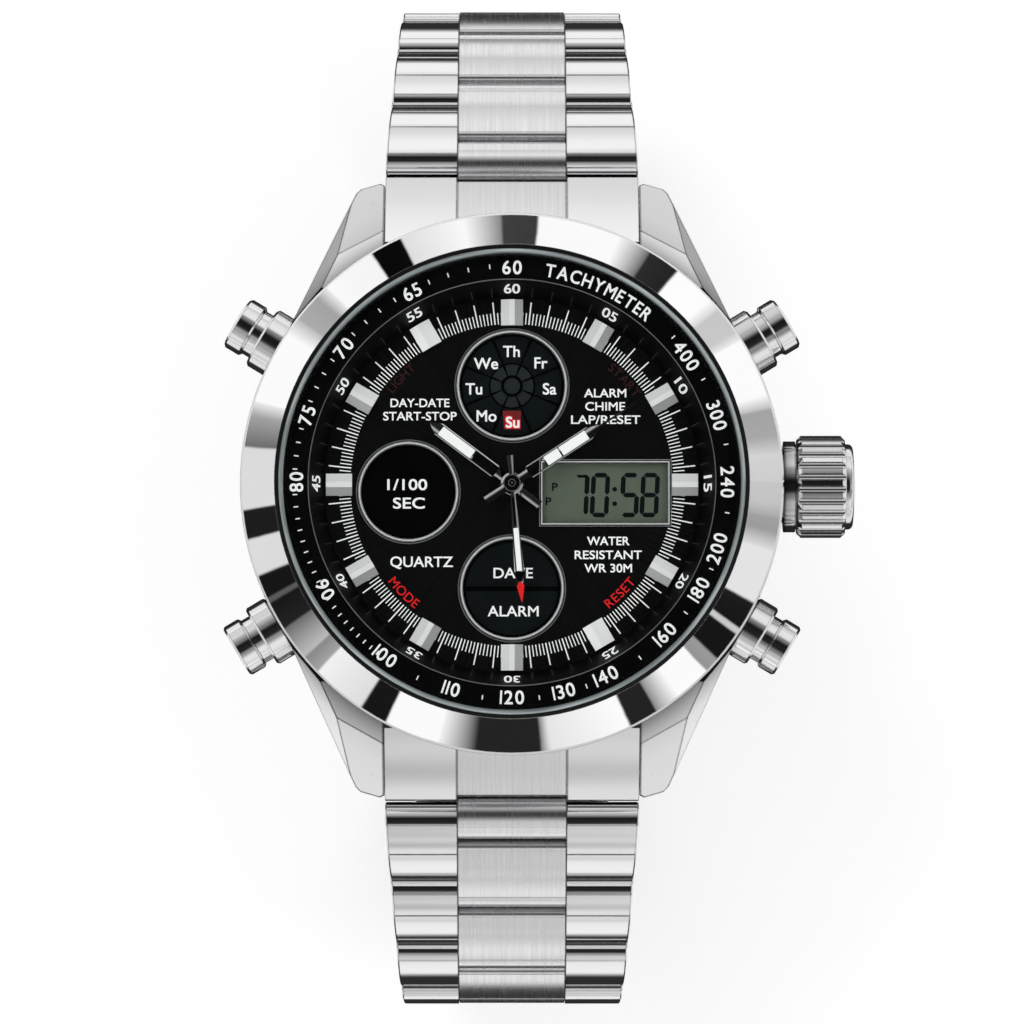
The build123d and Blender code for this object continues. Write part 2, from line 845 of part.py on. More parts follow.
with BuildPart() as case_back:
    disc(case_back_r, 0, case_back_t)
    chamfer(case_back.edges().group_by(Axis.Z)[0], length=case_edge)
    disc(case_back_boss_r, case_back_t, case_back_boss_t)
    hole(movement_r, case_back_floor_t, case_back_t + case_back_boss_t)
    with PolarLocations(back_screw_ring_r, back_screw_count, start_angle=back_screw_first):
        CounterSinkHole(
            radius=back_screw_hole_r, counter_sink_radius=2 * back_screw_hole_r, depth=case_back_t
        )
finish(case_back, "case_back")

with BuildPart() as buzzer:
    disc(buzzer_r, case_back_floor_t, buzzer_t)
finish(buzzer, "buzzer")

# Case back screws, with a slot in each flat head
with BuildPart() as case_back_screws:
    with BuildSketch(Plane.XZ):
        with Locations((back_screw_ring_r, 0)):
            Polygon(
                (0, back_screw_low_z),
                (back_screw_head_r, back_screw_low_z),
                (back_screw_head_r, 2 * back_screw_low_z),
                (back_screw_r, back_screw_head_r - back_screw_low_z * 2),
                (back_screw_r, back_screw_low_z + back_screw_len),
                (0, back_screw_low_z + back_screw_len),
                align=None,
            )
    revolve(axis=Axis((back_screw_ring_r, 0, 0), (0, 0, 1)))
    with BuildSketch(Plane.XY):
        with Locations((back_screw_ring_r, 0)):
            Rectangle(3 * back_screw_head_r, back_screw_slot_w)
    extrude(amount=3 * back_screw_low_z, mode=Mode.SUBTRACT)
screw = case_back_screws.part
with BuildPart() as case_back_screws:
    for index in range(back_screw_count):
        add(screw.rotate(Axis.Z, back_screw_first + 360 / back_screw_count * index))
finish(case_back_screws, "case_back_screws")

# Crown: a fluted barrel with a domed cap, hollow over the crown tube
tube_end_x = crown_base_x + crown_bore_depth - crown_tube_gap
stem_end_x = crown_base_x + crown_len - crown_wall_t
with BuildPart() as crown:
    with BuildSketch(radial_plane(0, crown_base_x)):
        Circle(crown_r)
    extrude(amount=crown_len)
    chamfer(crown.edges().filter_by(GeomType.CIRCLE), length=crown_edge)
    with BuildSketch(radial_plane(0, crown_base_x)):
        with PolarLocations(crown_r, crown_flutes):
            Circle(flute_r)
    extrude(amount=crown_len, mode=Mode.SUBTRACT)
    with BuildSketch(radial_plane(0, crown_base_x + crown_len)):
        Circle(crown_cap_r)
    extrude(amount=crown_cap_len)
    fillet(crown.edges().filter_by(GeomType.CIRCLE).sort_by(Axis.X)[-1], radius=crown_cap_round)
    with BuildSketch(radial_plane(0, crown_base_x)):
        Circle(crown_bore_r)
    extrude(amount=crown_bore_depth, mode=Mode.SUBTRACT)
    with BuildSketch(radial_plane(0, crown_base_x)):
        Circle(stem_r)
    extrude(amount=stem_end_x - crown_base_x, mode=Mode.SUBTRACT)
finish(crown, "crown")

with BuildPart() as crown_tube:
    with BuildSketch(radial_plane(0, case_bore_r + seat_gap)):
        Circle(crown_tube_r)
        Circle(stem_r + stem_clearance, mode=Mode.SUBTRACT)
    extrude(amount=tube_end_x - case_bore_r - seat_gap)
finish(crown_tube, "crown_tube")

# Winding stem with the two collars that carry the setting lever
with BuildPart() as winding_stem:
    with BuildSketch(radial_plane(0, stem_inner_x)):
        Circle(stem_r)
    extrude(amount=stem_end_x - stem_inner_x)
    for start_x in (lever_x - collar_t - stem_clearance, lever_x + lever_t + stem_clearance):
        with BuildSketch(radial_plane(0, start_x)):
            Circle(stem_collar_r)
        extrude(amount=collar_t)
finish(winding_stem, "winding_stem")

with BuildPart() as setting_lever:
    with BuildSketch(radial_plane(0, lever_x)):
        Rectangle(channel_w - 2 * lever_side_gap, lever_h)
        Circle(stem_r + stem_clearance, mode=Mode.SUBTRACT)
    extrude(amount=lever_t)
finish(setting_lever, "setting_lever")

# Pushers: each has a flanged tube in the case wall, a spring, and a barrel with a cap
barrel_bore_r = barrel_r + barrel_clearance
barrel_in = cap_start - barrel_len
barrel_bore_floor = barrel_in - pusher_travel - seat_gap
with BuildPart() as pusher_tubes:
    for angle in pusher_angles.values():
        with BuildSketch(radial_plane(angle, tube_in)):
            Circle(tube_r)
        extrude(amount=pusher_seat - tube_in)
        with BuildSketch(radial_plane(angle, pusher_seat)):
            Circle(collar_r)
        extrude(amount=collar_end - pusher_seat)
        with BuildSketch(radial_plane(angle, tube_in)):
            Circle(pusher_stem_r + barrel_clearance)
        extrude(amount=collar_end, mode=Mode.SUBTRACT)
        with BuildSketch(radial_plane(angle, spring_seat)):
            Circle(spring_chamber_r)
        extrude(amount=collar_end, mode=Mode.SUBTRACT)
        with BuildSketch(radial_plane(angle, barrel_bore_floor)):
            Circle(barrel_bore_r)
        extrude(amount=collar_end, mode=Mode.SUBTRACT)
    outer_rims = pusher_tubes.edges().filter_by(
        lambda edge: edge.geom_type == GeomType.CIRCLE and abs(edge.radius - collar_r) < seat_gap
    )
    chamfer(outer_rims, length=cap_edge)
finish(pusher_tubes, "pusher_tubes")

spring_len = barrel_bore_floor - spring_seat - 2 * (spring_wire + seat_gap)
with BuildPart() as pusher_springs:
    for angle in pusher_angles.values():
        seat = radial_plane(angle, spring_seat + spring_wire + seat_gap)
        with BuildLine() as coil:
            Helix(
                spring_len / spring_turns,
                spring_len,
                spring_coil_r,
                center=seat.origin,
                direction=seat.z_dir,
            )
        with BuildSketch(Plane(coil.edges()[0] ^ 0)):
            Circle(spring_wire)
        sweep(path=coil.edges()[0], is_frenet=True)
finish(pusher_springs, "pusher_springs")

for label, angle in pusher_angles.items():
    with BuildPart() as pusher:
        with BuildSketch(radial_plane(angle, cap_start)):
            Circle(cap_r)
        extrude(amount=cap_end - cap_start)
        cap_rims = pusher.edges().filter_by(GeomType.CIRCLE)
        chamfer(cap_rims, length=cap_edge)
        with BuildSketch(radial_plane(angle, barrel_in)):
            Circle(barrel_r)
        extrude(amount=cap_start - barrel_in)
        with BuildSketch(radial_plane(angle, pusher_stem_in)):
            Circle(pusher_stem_r)
        extrude(amount=barrel_in - pusher_stem_in)
        with BuildSketch(radial_plane(angle, tube_in - 2 * stem_ring_t)):
            Circle(pusher_stem_r + stem_ring_w)
        extrude(amount=stem_ring_t)
    finish(pusher, label)

# Spring bars at the lugs
with BuildPart() as spring_bars:
    for side in (-1, 1):
        for radius, length in (
            (spring_bar_r, lug_gap - 4 * end_link_gap),
            (spring_bar_tip_r, lug_gap + 2 * (spring_bar_tip - end_link_gap)),
        ):
            with BuildSketch(Plane.YZ.offset(-length / 2)):
                with Locations((side * spring_bar_y, spring_bar_z)):
                    Circle(radius)
            extrude(amount=length)
finish(spring_bars, "spring_bars")


# Bracelet. Each half starts at a pin in its end link and follows the loop's slopes down.
def chain_pins(side):
    """The hinge pins of one half, from the end link's pin to the clasp's, as (y, z)."""
    y = first_pin_y
    z = first_pin_z
    pins = [(side * y, z)]
    for slope in loop_slopes:
        turn = math.radians(slope)
        y += link_pitch * math.cos(turn)
        z -= link_pitch * math.sin(turn)
        pins.append((side * y, z))
    return pins


def link_plane(side, pin, slope):
    """The side view plane of a link: X runs along the link, Y points out of the loop."""
    turn = math.radians(slope)
    along = (0, side * math.cos(turn), -math.sin(turn))
    return Plane(origin=(0, pin[0], pin[1]), x_dir=along, z_dir=(side, 0, 0))


def bracelet_width(index):
    """The bracelet's width where link number index starts."""
    share = 1 - index / len(loop_slopes)
    return width_at_clasp + (width_at_lugs - width_at_clasp) * share**2


def make_link(label, side, pin, slope, index, eye_cut):
    """One rigid link: two outer pieces, a centre piece half a step further on, and two pins."""
    view = link_plane(side, pin, slope)
    plan = Plane(origin=view.origin, x_dir=view.x_dir, z_dir=view.y_dir)
    width_up = bracelet_width(index)
    width_down = bracelet_width(index + 1)
    flat_end = link_pitch - link_r - link_gap - (open_pivot_gap / 2 if eye_cut else 0)
    flat_start = link_r + link_gap
    round_end_y = math.sqrt(link_r**2 - round_end_x**2)
    body_root_y = math.sqrt(link_r**2 - body_root_x**2)
    centre_half = centre_w / 2 - centre_side_gap
    with BuildPart() as outers:
        with BuildSketch(view):
            body_start = body_root_x + bead_gap
            body_end = flat_end - bead_w
            with BuildLine():
                ThreePointArc((0, -link_r), (-link_r, 0), (body_root_x, body_root_y))
                Line((body_root_x, body_root_y), (body_start, bead_foot))
                ThreePointArc(
                    (body_start, bead_foot),
                    ((body_start + body_end) / 2, link_r + link_crown),
                    (body_end, bead_foot),
                )
                ThreePointArc(
                    (body_end, bead_foot),
                    (flat_end - bead_w / 2, bead_top),
                    (flat_end, bead_foot),
                )
                Polyline((flat_end, bead_foot), (flat_end, -link_r), (0, -link_r))
            make_face()
            Circle(pin_r, mode=Mode.SUBTRACT)
            with Locations((link_pitch / 2, 0)):
                Circle(rivet_r, mode=Mode.SUBTRACT)
        extrude(amount=width_up, both=True)
        with BuildSketch(plan):
            for flip in (-1, 1):
                Polygon(
                    (-link_pitch, flip * centre_w / 2),
                    (link_pitch, flip * centre_w / 2),
                    (link_pitch, flip * width_down / 2),
                    (-link_pitch, flip * (width_up - width_down / 2)),
                    align=None,
                )
        extrude(amount=link_pitch, both=True, mode=Mode.INTERSECT)
        sides = outers.faces().sort_by(Axis.X)
        rims = sides[0].outer_wire().edges() + sides[-1].outer_wire().edges()
        chamfer(rims, length=link_edge)
    with BuildPart() as centre:
        with BuildSketch(view):
            body_start = flat_start + bead_w
            eye_start = link_pitch - round_end_x
            with BuildLine():
                ThreePointArc(
                    (flat_start, bead_foot),
                    (flat_start + bead_w / 2, bead_top),
                    (body_start, bead_foot),
                )
                ThreePointArc(
                    (body_start, bead_foot),
                    ((body_start + eye_start) / 2, link_r + centre_crown),
                    (eye_start, round_end_y),
                )
                ThreePointArc((eye_start, round_end_y), (link_pitch + link_r, 0), (link_pitch, -link_r))
                Polyline((link_pitch, -link_r), (flat_start, -link_r), (flat_start, bead_foot))
            make_face()
            with Locations((link_pitch, 0)):
                Circle(pin_r + pin_clearance, mode=Mode.SUBTRACT)
            with Locations((link_pitch / 2, 0)):
                Circle(rivet_r, mode=Mode.SUBTRACT)
            if eye_cut:
                with Locations((link_pitch + link_r - pin_r - open_pivot_gap, 0)):
                    Rectangle(2 * link_r, 3 * link_r, mode=Mode.SUBTRACT)
        extrude(amount=centre_half, both=True)
    with BuildPart() as pins:
        with BuildSketch(view):
            Circle(pin_r)
        extrude(amount=width_up / 2 - pin_recess, both=True)
        with BuildSketch(view):
            with Locations((link_pitch / 2, 0)):
                Circle(rivet_r)
        extrude(amount=width_down / 2 - pin_recess, both=True)
    link = Compound(children=outers.part.solids() + centre.part.solids() + pins.part.solids())
    link.label = label
    export_step(link, "parts/" + label + ".step")


for side, hour in ((1, "12"), (-1, "6")):
    pins = chain_pins(side)
    for index, slope in enumerate(loop_slopes):
        last = index == len(loop_slopes) - 1
        make_link(
            "link_" + hour + "_" + str(index + 1),
            side,
            pins[index],
            slope,
            index,
            last and side == 1,
        )

# End links: a body between the lugs, hollowed to the case, and a round centre eye for the first link
for side, label in ((1, "end_link_12"), (-1, "end_link_6")):
    with BuildPart() as end_body:
        with BuildSketch(Plane.YZ):
            with BuildLine():
                Polyline(
                    (side * end_link_reach, end_face_top_z),
                    (side * end_link_reach, end_low_z),
                    (side * (neck_r - 1), end_low_z),
                    (side * (neck_r - 1), end_top_z),
                    (side * neck_r, end_top_z),
                )
                ThreePointArc(
                    (side * neck_r, end_top_z),
                    (side * end_mid[0], end_mid[1]),
                    (side * end_link_reach, end_face_top_z),
                )
            make_face()
            with Locations((side * spring_bar_y, spring_bar_z)):
                Circle(spring_bar_r + seat_gap, mode=Mode.SUBTRACT)
        extrude(amount=end_link_half, both=True)
        with BuildSketch(Plane.XY):
            Circle(case_r + end_link_gap)
        extrude(amount=case_top_z, mode=Mode.SUBTRACT)
        with BuildSketch(Plane.XY.offset(case_top_z + 1)):
            with Locations((0, side * (end_link_reach + end_link_centre_y) / 2)):
                Rectangle(centre_w, end_link_reach - end_link_centre_y + seat_gap)
        extrude(amount=-case_top_z, mode=Mode.SUBTRACT)
        for groove_x in (-centre_w / 2, centre_w / 2):
            with BuildSketch(Plane.YZ.offset(groove_x - end_link_groove / 2)):
                with BuildLine():
                    ThreePointArc(
                        (side * neck_r, end_top_z - end_link_groove_depth),
                        (side * end_mid[0], end_mid[1] - end_link_groove_depth),
                        (side * end_link_reach, end_face_top_z - end_link_groove_depth),
                    )
                    Polyline(
                        (side * end_link_reach, end_face_top_z - end_link_groove_depth),
                        (side * (end_link_reach + 1), end_face_top_z),
                        (side * end_link_reach, end_top_z + 1),
                        (side * neck_r, end_top_z + 1),
                        (side * neck_r, end_top_z - end_link_groove_depth),
                    )
                make_face()
            extrude(amount=end_link_groove, mode=Mode.SUBTRACT)
        edge_rim = end_body.edges().filter_by(Axis.X).group_by(Axis.Y)[-1 if side > 0 else 0]
        chamfer(edge_rim.sort_by(Axis.Z)[-1], length=link_edge / 2)
    with BuildPart() as end_eye:
        with BuildSketch(Plane.YZ):
            with Locations((side * first_pin_y, first_pin_z)):
                Circle(link_r)
            with Locations((side * (end_link_centre_y + link_r + seat_gap), first_pin_z + end_eye_rise)):
                Circle(link_r)
            make_hull()
            with Locations((side * first_pin_y, first_pin_z)):
                Circle(pin_r + pin_clearance, mode=Mode.SUBTRACT)
        extrude(amount=centre_w / 2 - centre_side_gap, both=True)
    end_link = Compound(children=end_body.part.solids() + end_eye.part.solids())
    end_link.label = label
    export_step(end_link, "parts/" + label + ".step")

# Fold-over clasp, laid out flat under the loop between the two halves' last pins
clasp_y = abs(chain_pins(1)[-1][0])
clasp_z = chain_pins(1)[-1][1]
clasp_half = width_at_clasp / 2
block_in_y = clasp_y - link_r - link_gap
hinge_y = hinge_inset - clasp_y
fold_y = clasp_y - fold_inset
cover_in_y = hinge_y - 2.5 * hinge_knuckle_r
hinge_z = clasp_z - hinge_drop
fold_z = clasp_z + fold_rise
plate_low_z = clasp_z - clasp_depth
outer_blade_top = plate_low_z + clasp_plate_t + blade_gap + blade_t
inner_blade_low = hinge_z + hinge_knuckle_r + blade_gap


def yz_block(y_low, y_high, z_low, z_high, half, mode=Mode.ADD):
    """A box between these limits, centred across the bracelet."""
    with BuildSketch(Plane.YZ) as outline:
        with Locations(((y_low + y_high) / 2, (z_low + z_high) / 2)):
            Rectangle(y_high - y_low, z_high - z_low)
    extrude(outline.sketch, amount=half, both=True, mode=mode)


def yz_round(y, z, radius, half, mode=Mode.ADD):
    """A cylinder across the bracelet."""
    with BuildSketch(Plane.YZ) as outline:
        with Locations((y, z)):
            Circle(radius)
    extrude(outline.sketch, amount=half, both=True, mode=mode)


with BuildPart() as cover:
    yz_block(cover_in_y, block_in_y, plate_low_z, clasp_z + clasp_wall_top, clasp_half)
    yz_block(
        cover_in_y,
        block_in_y - clasp_block_len,
        plate_low_z + clasp_plate_t,
        clasp_z + 2 * clasp_depth,
        clasp_half - clasp_wall_t,
        Mode.SUBTRACT,
    )
    chamfer(cover.edges().filter_by(Axis.Y).group_by(Axis.Z)[0], length=clasp_edge)
    yz_block(block_in_y - 1, clasp_y, clasp_z - link_r, clasp_z + clasp_wall_top, clasp_half)
    yz_round(clasp_y, clasp_z, link_r, clasp_half)
    yz_block(
        block_in_y,
        clasp_y + 2 * link_r,
        clasp_z - 2 * clasp_depth,
        clasp_z + 2 * clasp_depth,
        centre_w / 2,
        Mode.SUBTRACT,
    )
    yz_round(clasp_y, clasp_z, pin_r, 2 * clasp_half, Mode.SUBTRACT)
    yz_round(hinge_y, hinge_z, clasp_pin_r, 2 * clasp_half, Mode.SUBTRACT)
with BuildPart() as cover_pins:
    yz_round(clasp_y, clasp_z, pin_r, clasp_half - pin_recess)
    yz_round(hinge_y, hinge_z, clasp_pin_r, clasp_half - pin_recess)
clasp_cover = Compound(children=cover.part.solids() + cover_pins.part.solids())
clasp_cover.label = "clasp_cover"
export_step(clasp_cover, "parts/clasp_cover.step")

with BuildPart() as clasp_outer_blade:
    yz_block(hinge_y, fold_y, outer_blade_top - blade_t, outer_blade_top, outer_blade_w / 2)
    yz_round(hinge_y, hinge_z, hinge_knuckle_r, outer_blade_w / 2)
    yz_round(fold_y, fold_z, fold_knuckle_r, outer_blade_w / 2)
    yz_block(
        fold_y - fold_knuckle_r - blade_gap,
        fold_y + 2 * fold_knuckle_r,
        clasp_z - 3 * fold_knuckle_r,
        clasp_z + 3 * fold_knuckle_r,
        fold_tongue_w / 2 + blade_gap,
        Mode.SUBTRACT,
    )
    yz_round(hinge_y, hinge_z, clasp_pin_r + pivot_clearance, outer_blade_w, Mode.SUBTRACT)
    yz_round(fold_y, fold_z, clasp_pin_r + pivot_clearance, outer_blade_w, Mode.SUBTRACT)
finish(clasp_outer_blade, "clasp_outer_blade")

block_start_y = cover_in_y - clasp_gap
with BuildPart() as inner_blade:
    yz_block(
        block_start_y - 1,
        fold_y - fold_knuckle_r - blade_gap,
        inner_blade_low,
        inner_blade_low + blade_t,
        inner_blade_w / 2,
    )
    yz_block(
        fold_y - fold_knuckle_r - 1, fold_y, inner_blade_low, inner_blade_low + blade_t, fold_tongue_w / 2
    )
    yz_round(fold_y, fold_z, fold_knuckle_r, fold_tongue_w / 2)
    yz_block(-clasp_y, block_start_y, clasp_z - link_r, clasp_z + clasp_wall_top, clasp_half)
    yz_round(-clasp_y, clasp_z, link_r, clasp_half)
    yz_block(
        -clasp_y - 2 * link_r,
        -block_in_y,
        clasp_z - 2 * clasp_depth,
        clasp_z + 2 * clasp_depth,
        centre_w / 2,
        Mode.SUBTRACT,
    )
    yz_round(-clasp_y, clasp_z, pin_r, 2 * clasp_half, Mode.SUBTRACT)
    yz_round(fold_y, fold_z, clasp_pin_r, outer_blade_w, Mode.SUBTRACT)
with BuildPart() as inner_pins:
    yz_round(-clasp_y, clasp_z, pin_r, clasp_half - pin_recess)
    yz_round(fold_y, fold_z, clasp_pin_r, outer_blade_w / 2 - clasp_pin_recess)
clasp_inner_blade = Compound(children=inner_blade.part.solids() + inner_pins.part.solids())
clasp_inner_blade.label = "clasp_inner_blade"
export_step(clasp_inner_blade, "parts/clasp_inner_blade.step")
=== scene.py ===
import math

import bpy
from mathutils import Matrix, Vector


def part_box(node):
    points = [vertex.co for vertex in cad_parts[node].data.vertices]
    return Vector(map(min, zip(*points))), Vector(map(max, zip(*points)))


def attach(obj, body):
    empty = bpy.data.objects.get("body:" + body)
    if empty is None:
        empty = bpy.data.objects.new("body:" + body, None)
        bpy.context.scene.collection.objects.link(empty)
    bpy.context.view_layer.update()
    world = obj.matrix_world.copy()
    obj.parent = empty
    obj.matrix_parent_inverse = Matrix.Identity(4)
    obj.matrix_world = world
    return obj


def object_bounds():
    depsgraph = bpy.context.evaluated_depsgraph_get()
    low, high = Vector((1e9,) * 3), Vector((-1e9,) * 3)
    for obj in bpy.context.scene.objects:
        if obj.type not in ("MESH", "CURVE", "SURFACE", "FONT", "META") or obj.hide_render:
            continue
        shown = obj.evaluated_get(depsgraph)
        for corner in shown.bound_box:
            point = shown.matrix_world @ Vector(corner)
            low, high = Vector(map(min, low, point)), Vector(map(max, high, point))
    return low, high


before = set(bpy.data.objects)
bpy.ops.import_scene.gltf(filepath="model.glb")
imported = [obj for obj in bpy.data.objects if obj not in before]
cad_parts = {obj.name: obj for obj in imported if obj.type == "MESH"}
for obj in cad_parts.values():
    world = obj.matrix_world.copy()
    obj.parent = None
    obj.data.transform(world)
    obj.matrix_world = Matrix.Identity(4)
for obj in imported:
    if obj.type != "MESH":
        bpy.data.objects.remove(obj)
cad_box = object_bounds()
MM = 0.001


# Materials. Lengths in them are in metres
class Nodes:
    """Short calls that write one tree of nodes."""

    def __init__(self, tree):
        self.tree = tree
        tree.nodes.clear()

    def node(self, kind, **settings):
        made = self.tree.nodes.new(kind)
        for key, value in settings.items():
            setattr(made, key, value)
        return made

    def link(self, source, output, target, entry):
        self.tree.links.new(source.outputs[output], target.inputs[entry])

    def fill(self, entry, value):
        """Gives an entry a number, a colour or another node's socket."""
        if isinstance(value, (int, float)):
            entry.default_value = value
        elif isinstance(value, tuple):
            entry.default_value = (*value, 1.0)
        else:
            self.tree.links.new(value, entry)

    def maths(self, operation, *values):
        made = self.node("ShaderNodeMath", operation=operation)
        for entry, value in zip(made.inputs, values):
            self.fill(entry, value)
        return made.outputs["Value"]

    def vector(self, operation, first, second=None):
        """Vector arithmetic on two sockets, or on a socket and a constant vector."""
        made = self.node("ShaderNodeVectorMath", operation=operation)
        self.tree.links.new(first, made.inputs[0])
        if isinstance(second, tuple):
            made.inputs[1].default_value = second
        elif second is not None:
            self.tree.links.new(second, made.inputs[1])
        return made.outputs["Value" if operation in ("LENGTH", "DOT_PRODUCT") else "Vector"]

    def split(self, source):
        """The outputs X, Y and Z of a vector."""
        made = self.node("ShaderNodeSeparateXYZ")
        self.tree.links.new(source, made.inputs["Vector"])
        return made.outputs

    def flat(self, place):
        """A place without its height."""
        return self.vector("MULTIPLY", place, (1, 1, 0))

    def noise(self, source, scale, stretch=(1, 1, 1), detail=4.0, rough=0.55):
        """Noise over a vector; scale is in features per unit of it."""
        mapping = self.node("ShaderNodeMapping")
        mapping.inputs["Scale"].default_value = stretch
        self.tree.links.new(source, mapping.inputs["Vector"])
        texture = self.node("ShaderNodeTexNoise")
        texture.inputs["Scale"].default_value = scale
        texture.inputs["Detail"].default_value = detail
        texture.inputs["Roughness"].default_value = rough
        self.link(mapping, "Vector", texture, "Vector")
        return texture.outputs["Fac"]

    def between(self, source, start, end, low=0.0, high=1.0, smooth=False):
        """Maps start to end of a value to low and high, and holds it there beyond them."""
        curve = "SMOOTHSTEP" if smooth else "LINEAR"
        ranged = self.node("ShaderNodeMapRange", clamp=True, interpolation_type=curve)
        for entry, value in zip(("From Min", "From Max", "To Min", "To Max"), (start, end, low, high)):
            ranged.inputs[entry].default_value = value
        self.tree.links.new(source, ranged.inputs["Value"])
        return ranged.outputs["Result"]

    def spread(self, source, low, high):
        """Maps the middle half of a texture's values to low and high."""
        return self.between(source, 0.25, 0.75, low, high)

    def ramp(self, source, stops):
        """A colour ramp; each stop is (place, tone or colour), the first at 0 and the last at 1."""
        made = self.node("ShaderNodeValToRGB")
        elements = made.color_ramp.elements
        colours = [tone if isinstance(tone, tuple) else (tone, tone, tone) for place, tone in stops]
        elements[0].color = (*colours[0], 1)
        elements[1].color = (*colours[-1], 1)
        for (place, tone), colour in zip(stops[1:-1], colours[1:-1]):
            elements.new(place).color = (*colour, 1)
        self.tree.links.new(source, made.inputs["Fac"])
        return made.outputs["Color"]

    def blend(self, factor, first, second, kind="MIX"):
        """A colour from two colours or sockets."""
        mix = self.node("ShaderNodeMix", data_type="RGBA", blend_type=kind)
        for entry, value in ((mix.inputs[0], factor), (mix.inputs[6], first), (mix.inputs[7], second)):
            self.fill(entry, value)
        return mix.outputs[2]

    def share(self, factor, first, second):
        """A number from two numbers or sockets."""
        mix = self.node("ShaderNodeMix", data_type="FLOAT")
        for entry, value in ((mix.inputs[0], factor), (mix.inputs[2], first), (mix.inputs[3], second)):
            self.fill(entry, value)
        return mix.outputs[0]

    def mix_shaders(self, factor, first, second):
        mix = self.node("ShaderNodeMixShader")
        for entry, socket in zip(mix.inputs, (factor, first, second)):
            self.tree.links.new(socket, entry)
        return mix.outputs["Shader"]


class Shader(Nodes):
    """The procedural material of a piece; its textures lie in the object's own space."""

    def __init__(self, name):
        self.material = bpy.data.materials.new(name)
        self.material.use_nodes = True
        super().__init__(self.material.node_tree)
        self.out = self.node("ShaderNodeOutputMaterial")
        self.body = self.node("ShaderNodeBsdfPrincipled")
        self.link(self.body, "BSDF", self.out, "Surface")
        self.place = self.node("ShaderNodeTexCoord").outputs["Object"]

    def grain(self, scale, **settings):
        return self.noise(self.place, scale, **settings)

    def feed(self, **values):
        """Fills entries of the surface; an underscore in a name stands for a space."""
        for entry, value in values.items():
            self.fill(self.body.inputs[entry.replace("_", " ")], value)

    def relief(self, heights, edge):
        """Rounds the edges by a radius and lays bumps over them in order; each is (socket, depth)."""
        rounded = self.node("ShaderNodeBevel", samples=4)
        rounded.inputs["Radius"].default_value = edge
        normal = rounded.outputs["Normal"]
        for source, depth in heights:
            bump = self.node("ShaderNodeBump")
            bump.inputs["Strength"].default_value = 1.0
            bump.inputs["Distance"].default_value = depth
            self.tree.links.new(source, bump.inputs["Height"])
            self.tree.links.new(normal, bump.inputs["Normal"])
            normal = bump.outputs["Normal"]
        self.tree.links.new(normal, self.body.inputs["Normal"])
        return rounded.outputs["Normal"]

    def wear(self, rounded):
        """0 on flats, and more the further the rounding turns a sharp edge's normal."""
        surface = self.node("ShaderNodeNewGeometry")
        along = self.vector("DOT_PRODUCT", rounded, surface.outputs["Normal"])
        return self.maths("MULTIPLY", self.maths("SUBTRACT", 1.0, along), 3.0)

    def edge_line(self, edge_turn, base, dark, span=(0.07, 0.2)):
        """The base colour with a fine painted line of another colour along every edge: painted shade where the line
        is dark, a painted highlight where it is bright.
        """
        amount = self.maths("POWER", self.maths("MAXIMUM", edge_turn, 0.0), 0.5)
        return self.blend(self.between(amount, *span), base, dark)


def polished(name, base=(0.80, 0.80, 0.81), rough=0.07, edge=0.00008, line=0.1, grading=None, span=(0.07, 0.2)):
    """Polished steel: fine polishing lines, faint smears and painted dark edge lines, painted shade for the dark
    that rounded edges mirror. Grading tones it by radius.
    """
    s = Shader(name)
    smear = s.grain(90, detail=3)
    lines = s.grain(5200, stretch=(1, 0.06, 1), detail=2)
    edge_turn = s.wear(s.relief([(smear, 2.5e-6), (lines, 6e-8)], edge))
    colour = s.blend(s.spread(smear, 0, 1), base, tuple(c * 0.95 for c in base))
    if grading is not None:
        start, end, tones = grading
        radius = s.vector("LENGTH", s.flat(s.place))
        colour = s.blend(1.0, colour, s.ramp(s.between(radius, start, end), tones), "MULTIPLY")
    # Painted shade: a dark line along every edge, for the dark that rounded polished edges mirror
    colour = s.edge_line(edge_turn, colour, (line, line, line), span)
    dull = s.maths("ADD", s.spread(smear, rough * 0.8, rough * 1.3), s.maths("MULTIPLY", edge_turn, 0.12))
    s.feed(Metallic=1.0, Base_Color=colour, Roughness=dull)
    return s.material


def brushed(name, base=(0.66, 0.66, 0.67), rough=0.3, stretch=(1, 0.02, 0.02)):
    """Brushed steel: long fine grooves across the stretch's long axes."""
    s = Shader(name)
    depth = 7e-7
    grain = s.grain(5200, stretch=stretch, detail=5, rough=0.7)
    broad = s.grain(700, stretch=stretch, detail=2)
    edge_turn = s.wear(s.relief([(grain, depth), (broad, depth * 1.5)], 0.00008))
    colour = s.blend(s.spread(grain, 0, 1), base, tuple(c * 0.84 for c in base))
    dull = s.maths("SUBTRACT", s.spread(grain, rough * 0.85, rough * 1.2), s.maths("MULTIPLY", edge_turn, 0.08))
    s.feed(Metallic=1.0, Base_Color=colour, Roughness=dull)
    return s.material


def bracelet_steel(name, half_centre):
    """Links: polished outer rows, brushed centre row, told apart by their place across the band."""
    s = Shader(name)
    centre = s.maths("LESS_THAN", s.maths("ABSOLUTE", s.split(s.place)["X"]), half_centre)
    grain = s.grain(5600, stretch=(1, 0.02, 0.02), detail=5, rough=0.7)
    smear = s.grain(120, detail=3)
    grooves = s.maths("MULTIPLY", grain, centre)
    edge_turn = s.wear(s.relief([(grooves, 2.2e-7), (smear, 2.2e-6)], 0.00012))
    dull = s.share(centre, s.spread(smear, 0.04, 0.07), s.spread(grain, 0.2, 0.3))
    bright = (0.9, 0.9, 0.91)
    streaked = s.blend(s.spread(grain, 0, 1), bright, (0.74, 0.74, 0.75))
    # Painted shade: a dark line along the links' edges, for the dark that their rounded edges mirror
    colour = s.edge_line(edge_turn, s.blend(centre, bright, streaked), (0.09, 0.09, 0.09))
    s.feed(Metallic=1.0, Base_Color=colour, Roughness=s.maths("ADD", dull, s.maths("MULTIPLY", edge_turn, 0.05)))
    return s.material
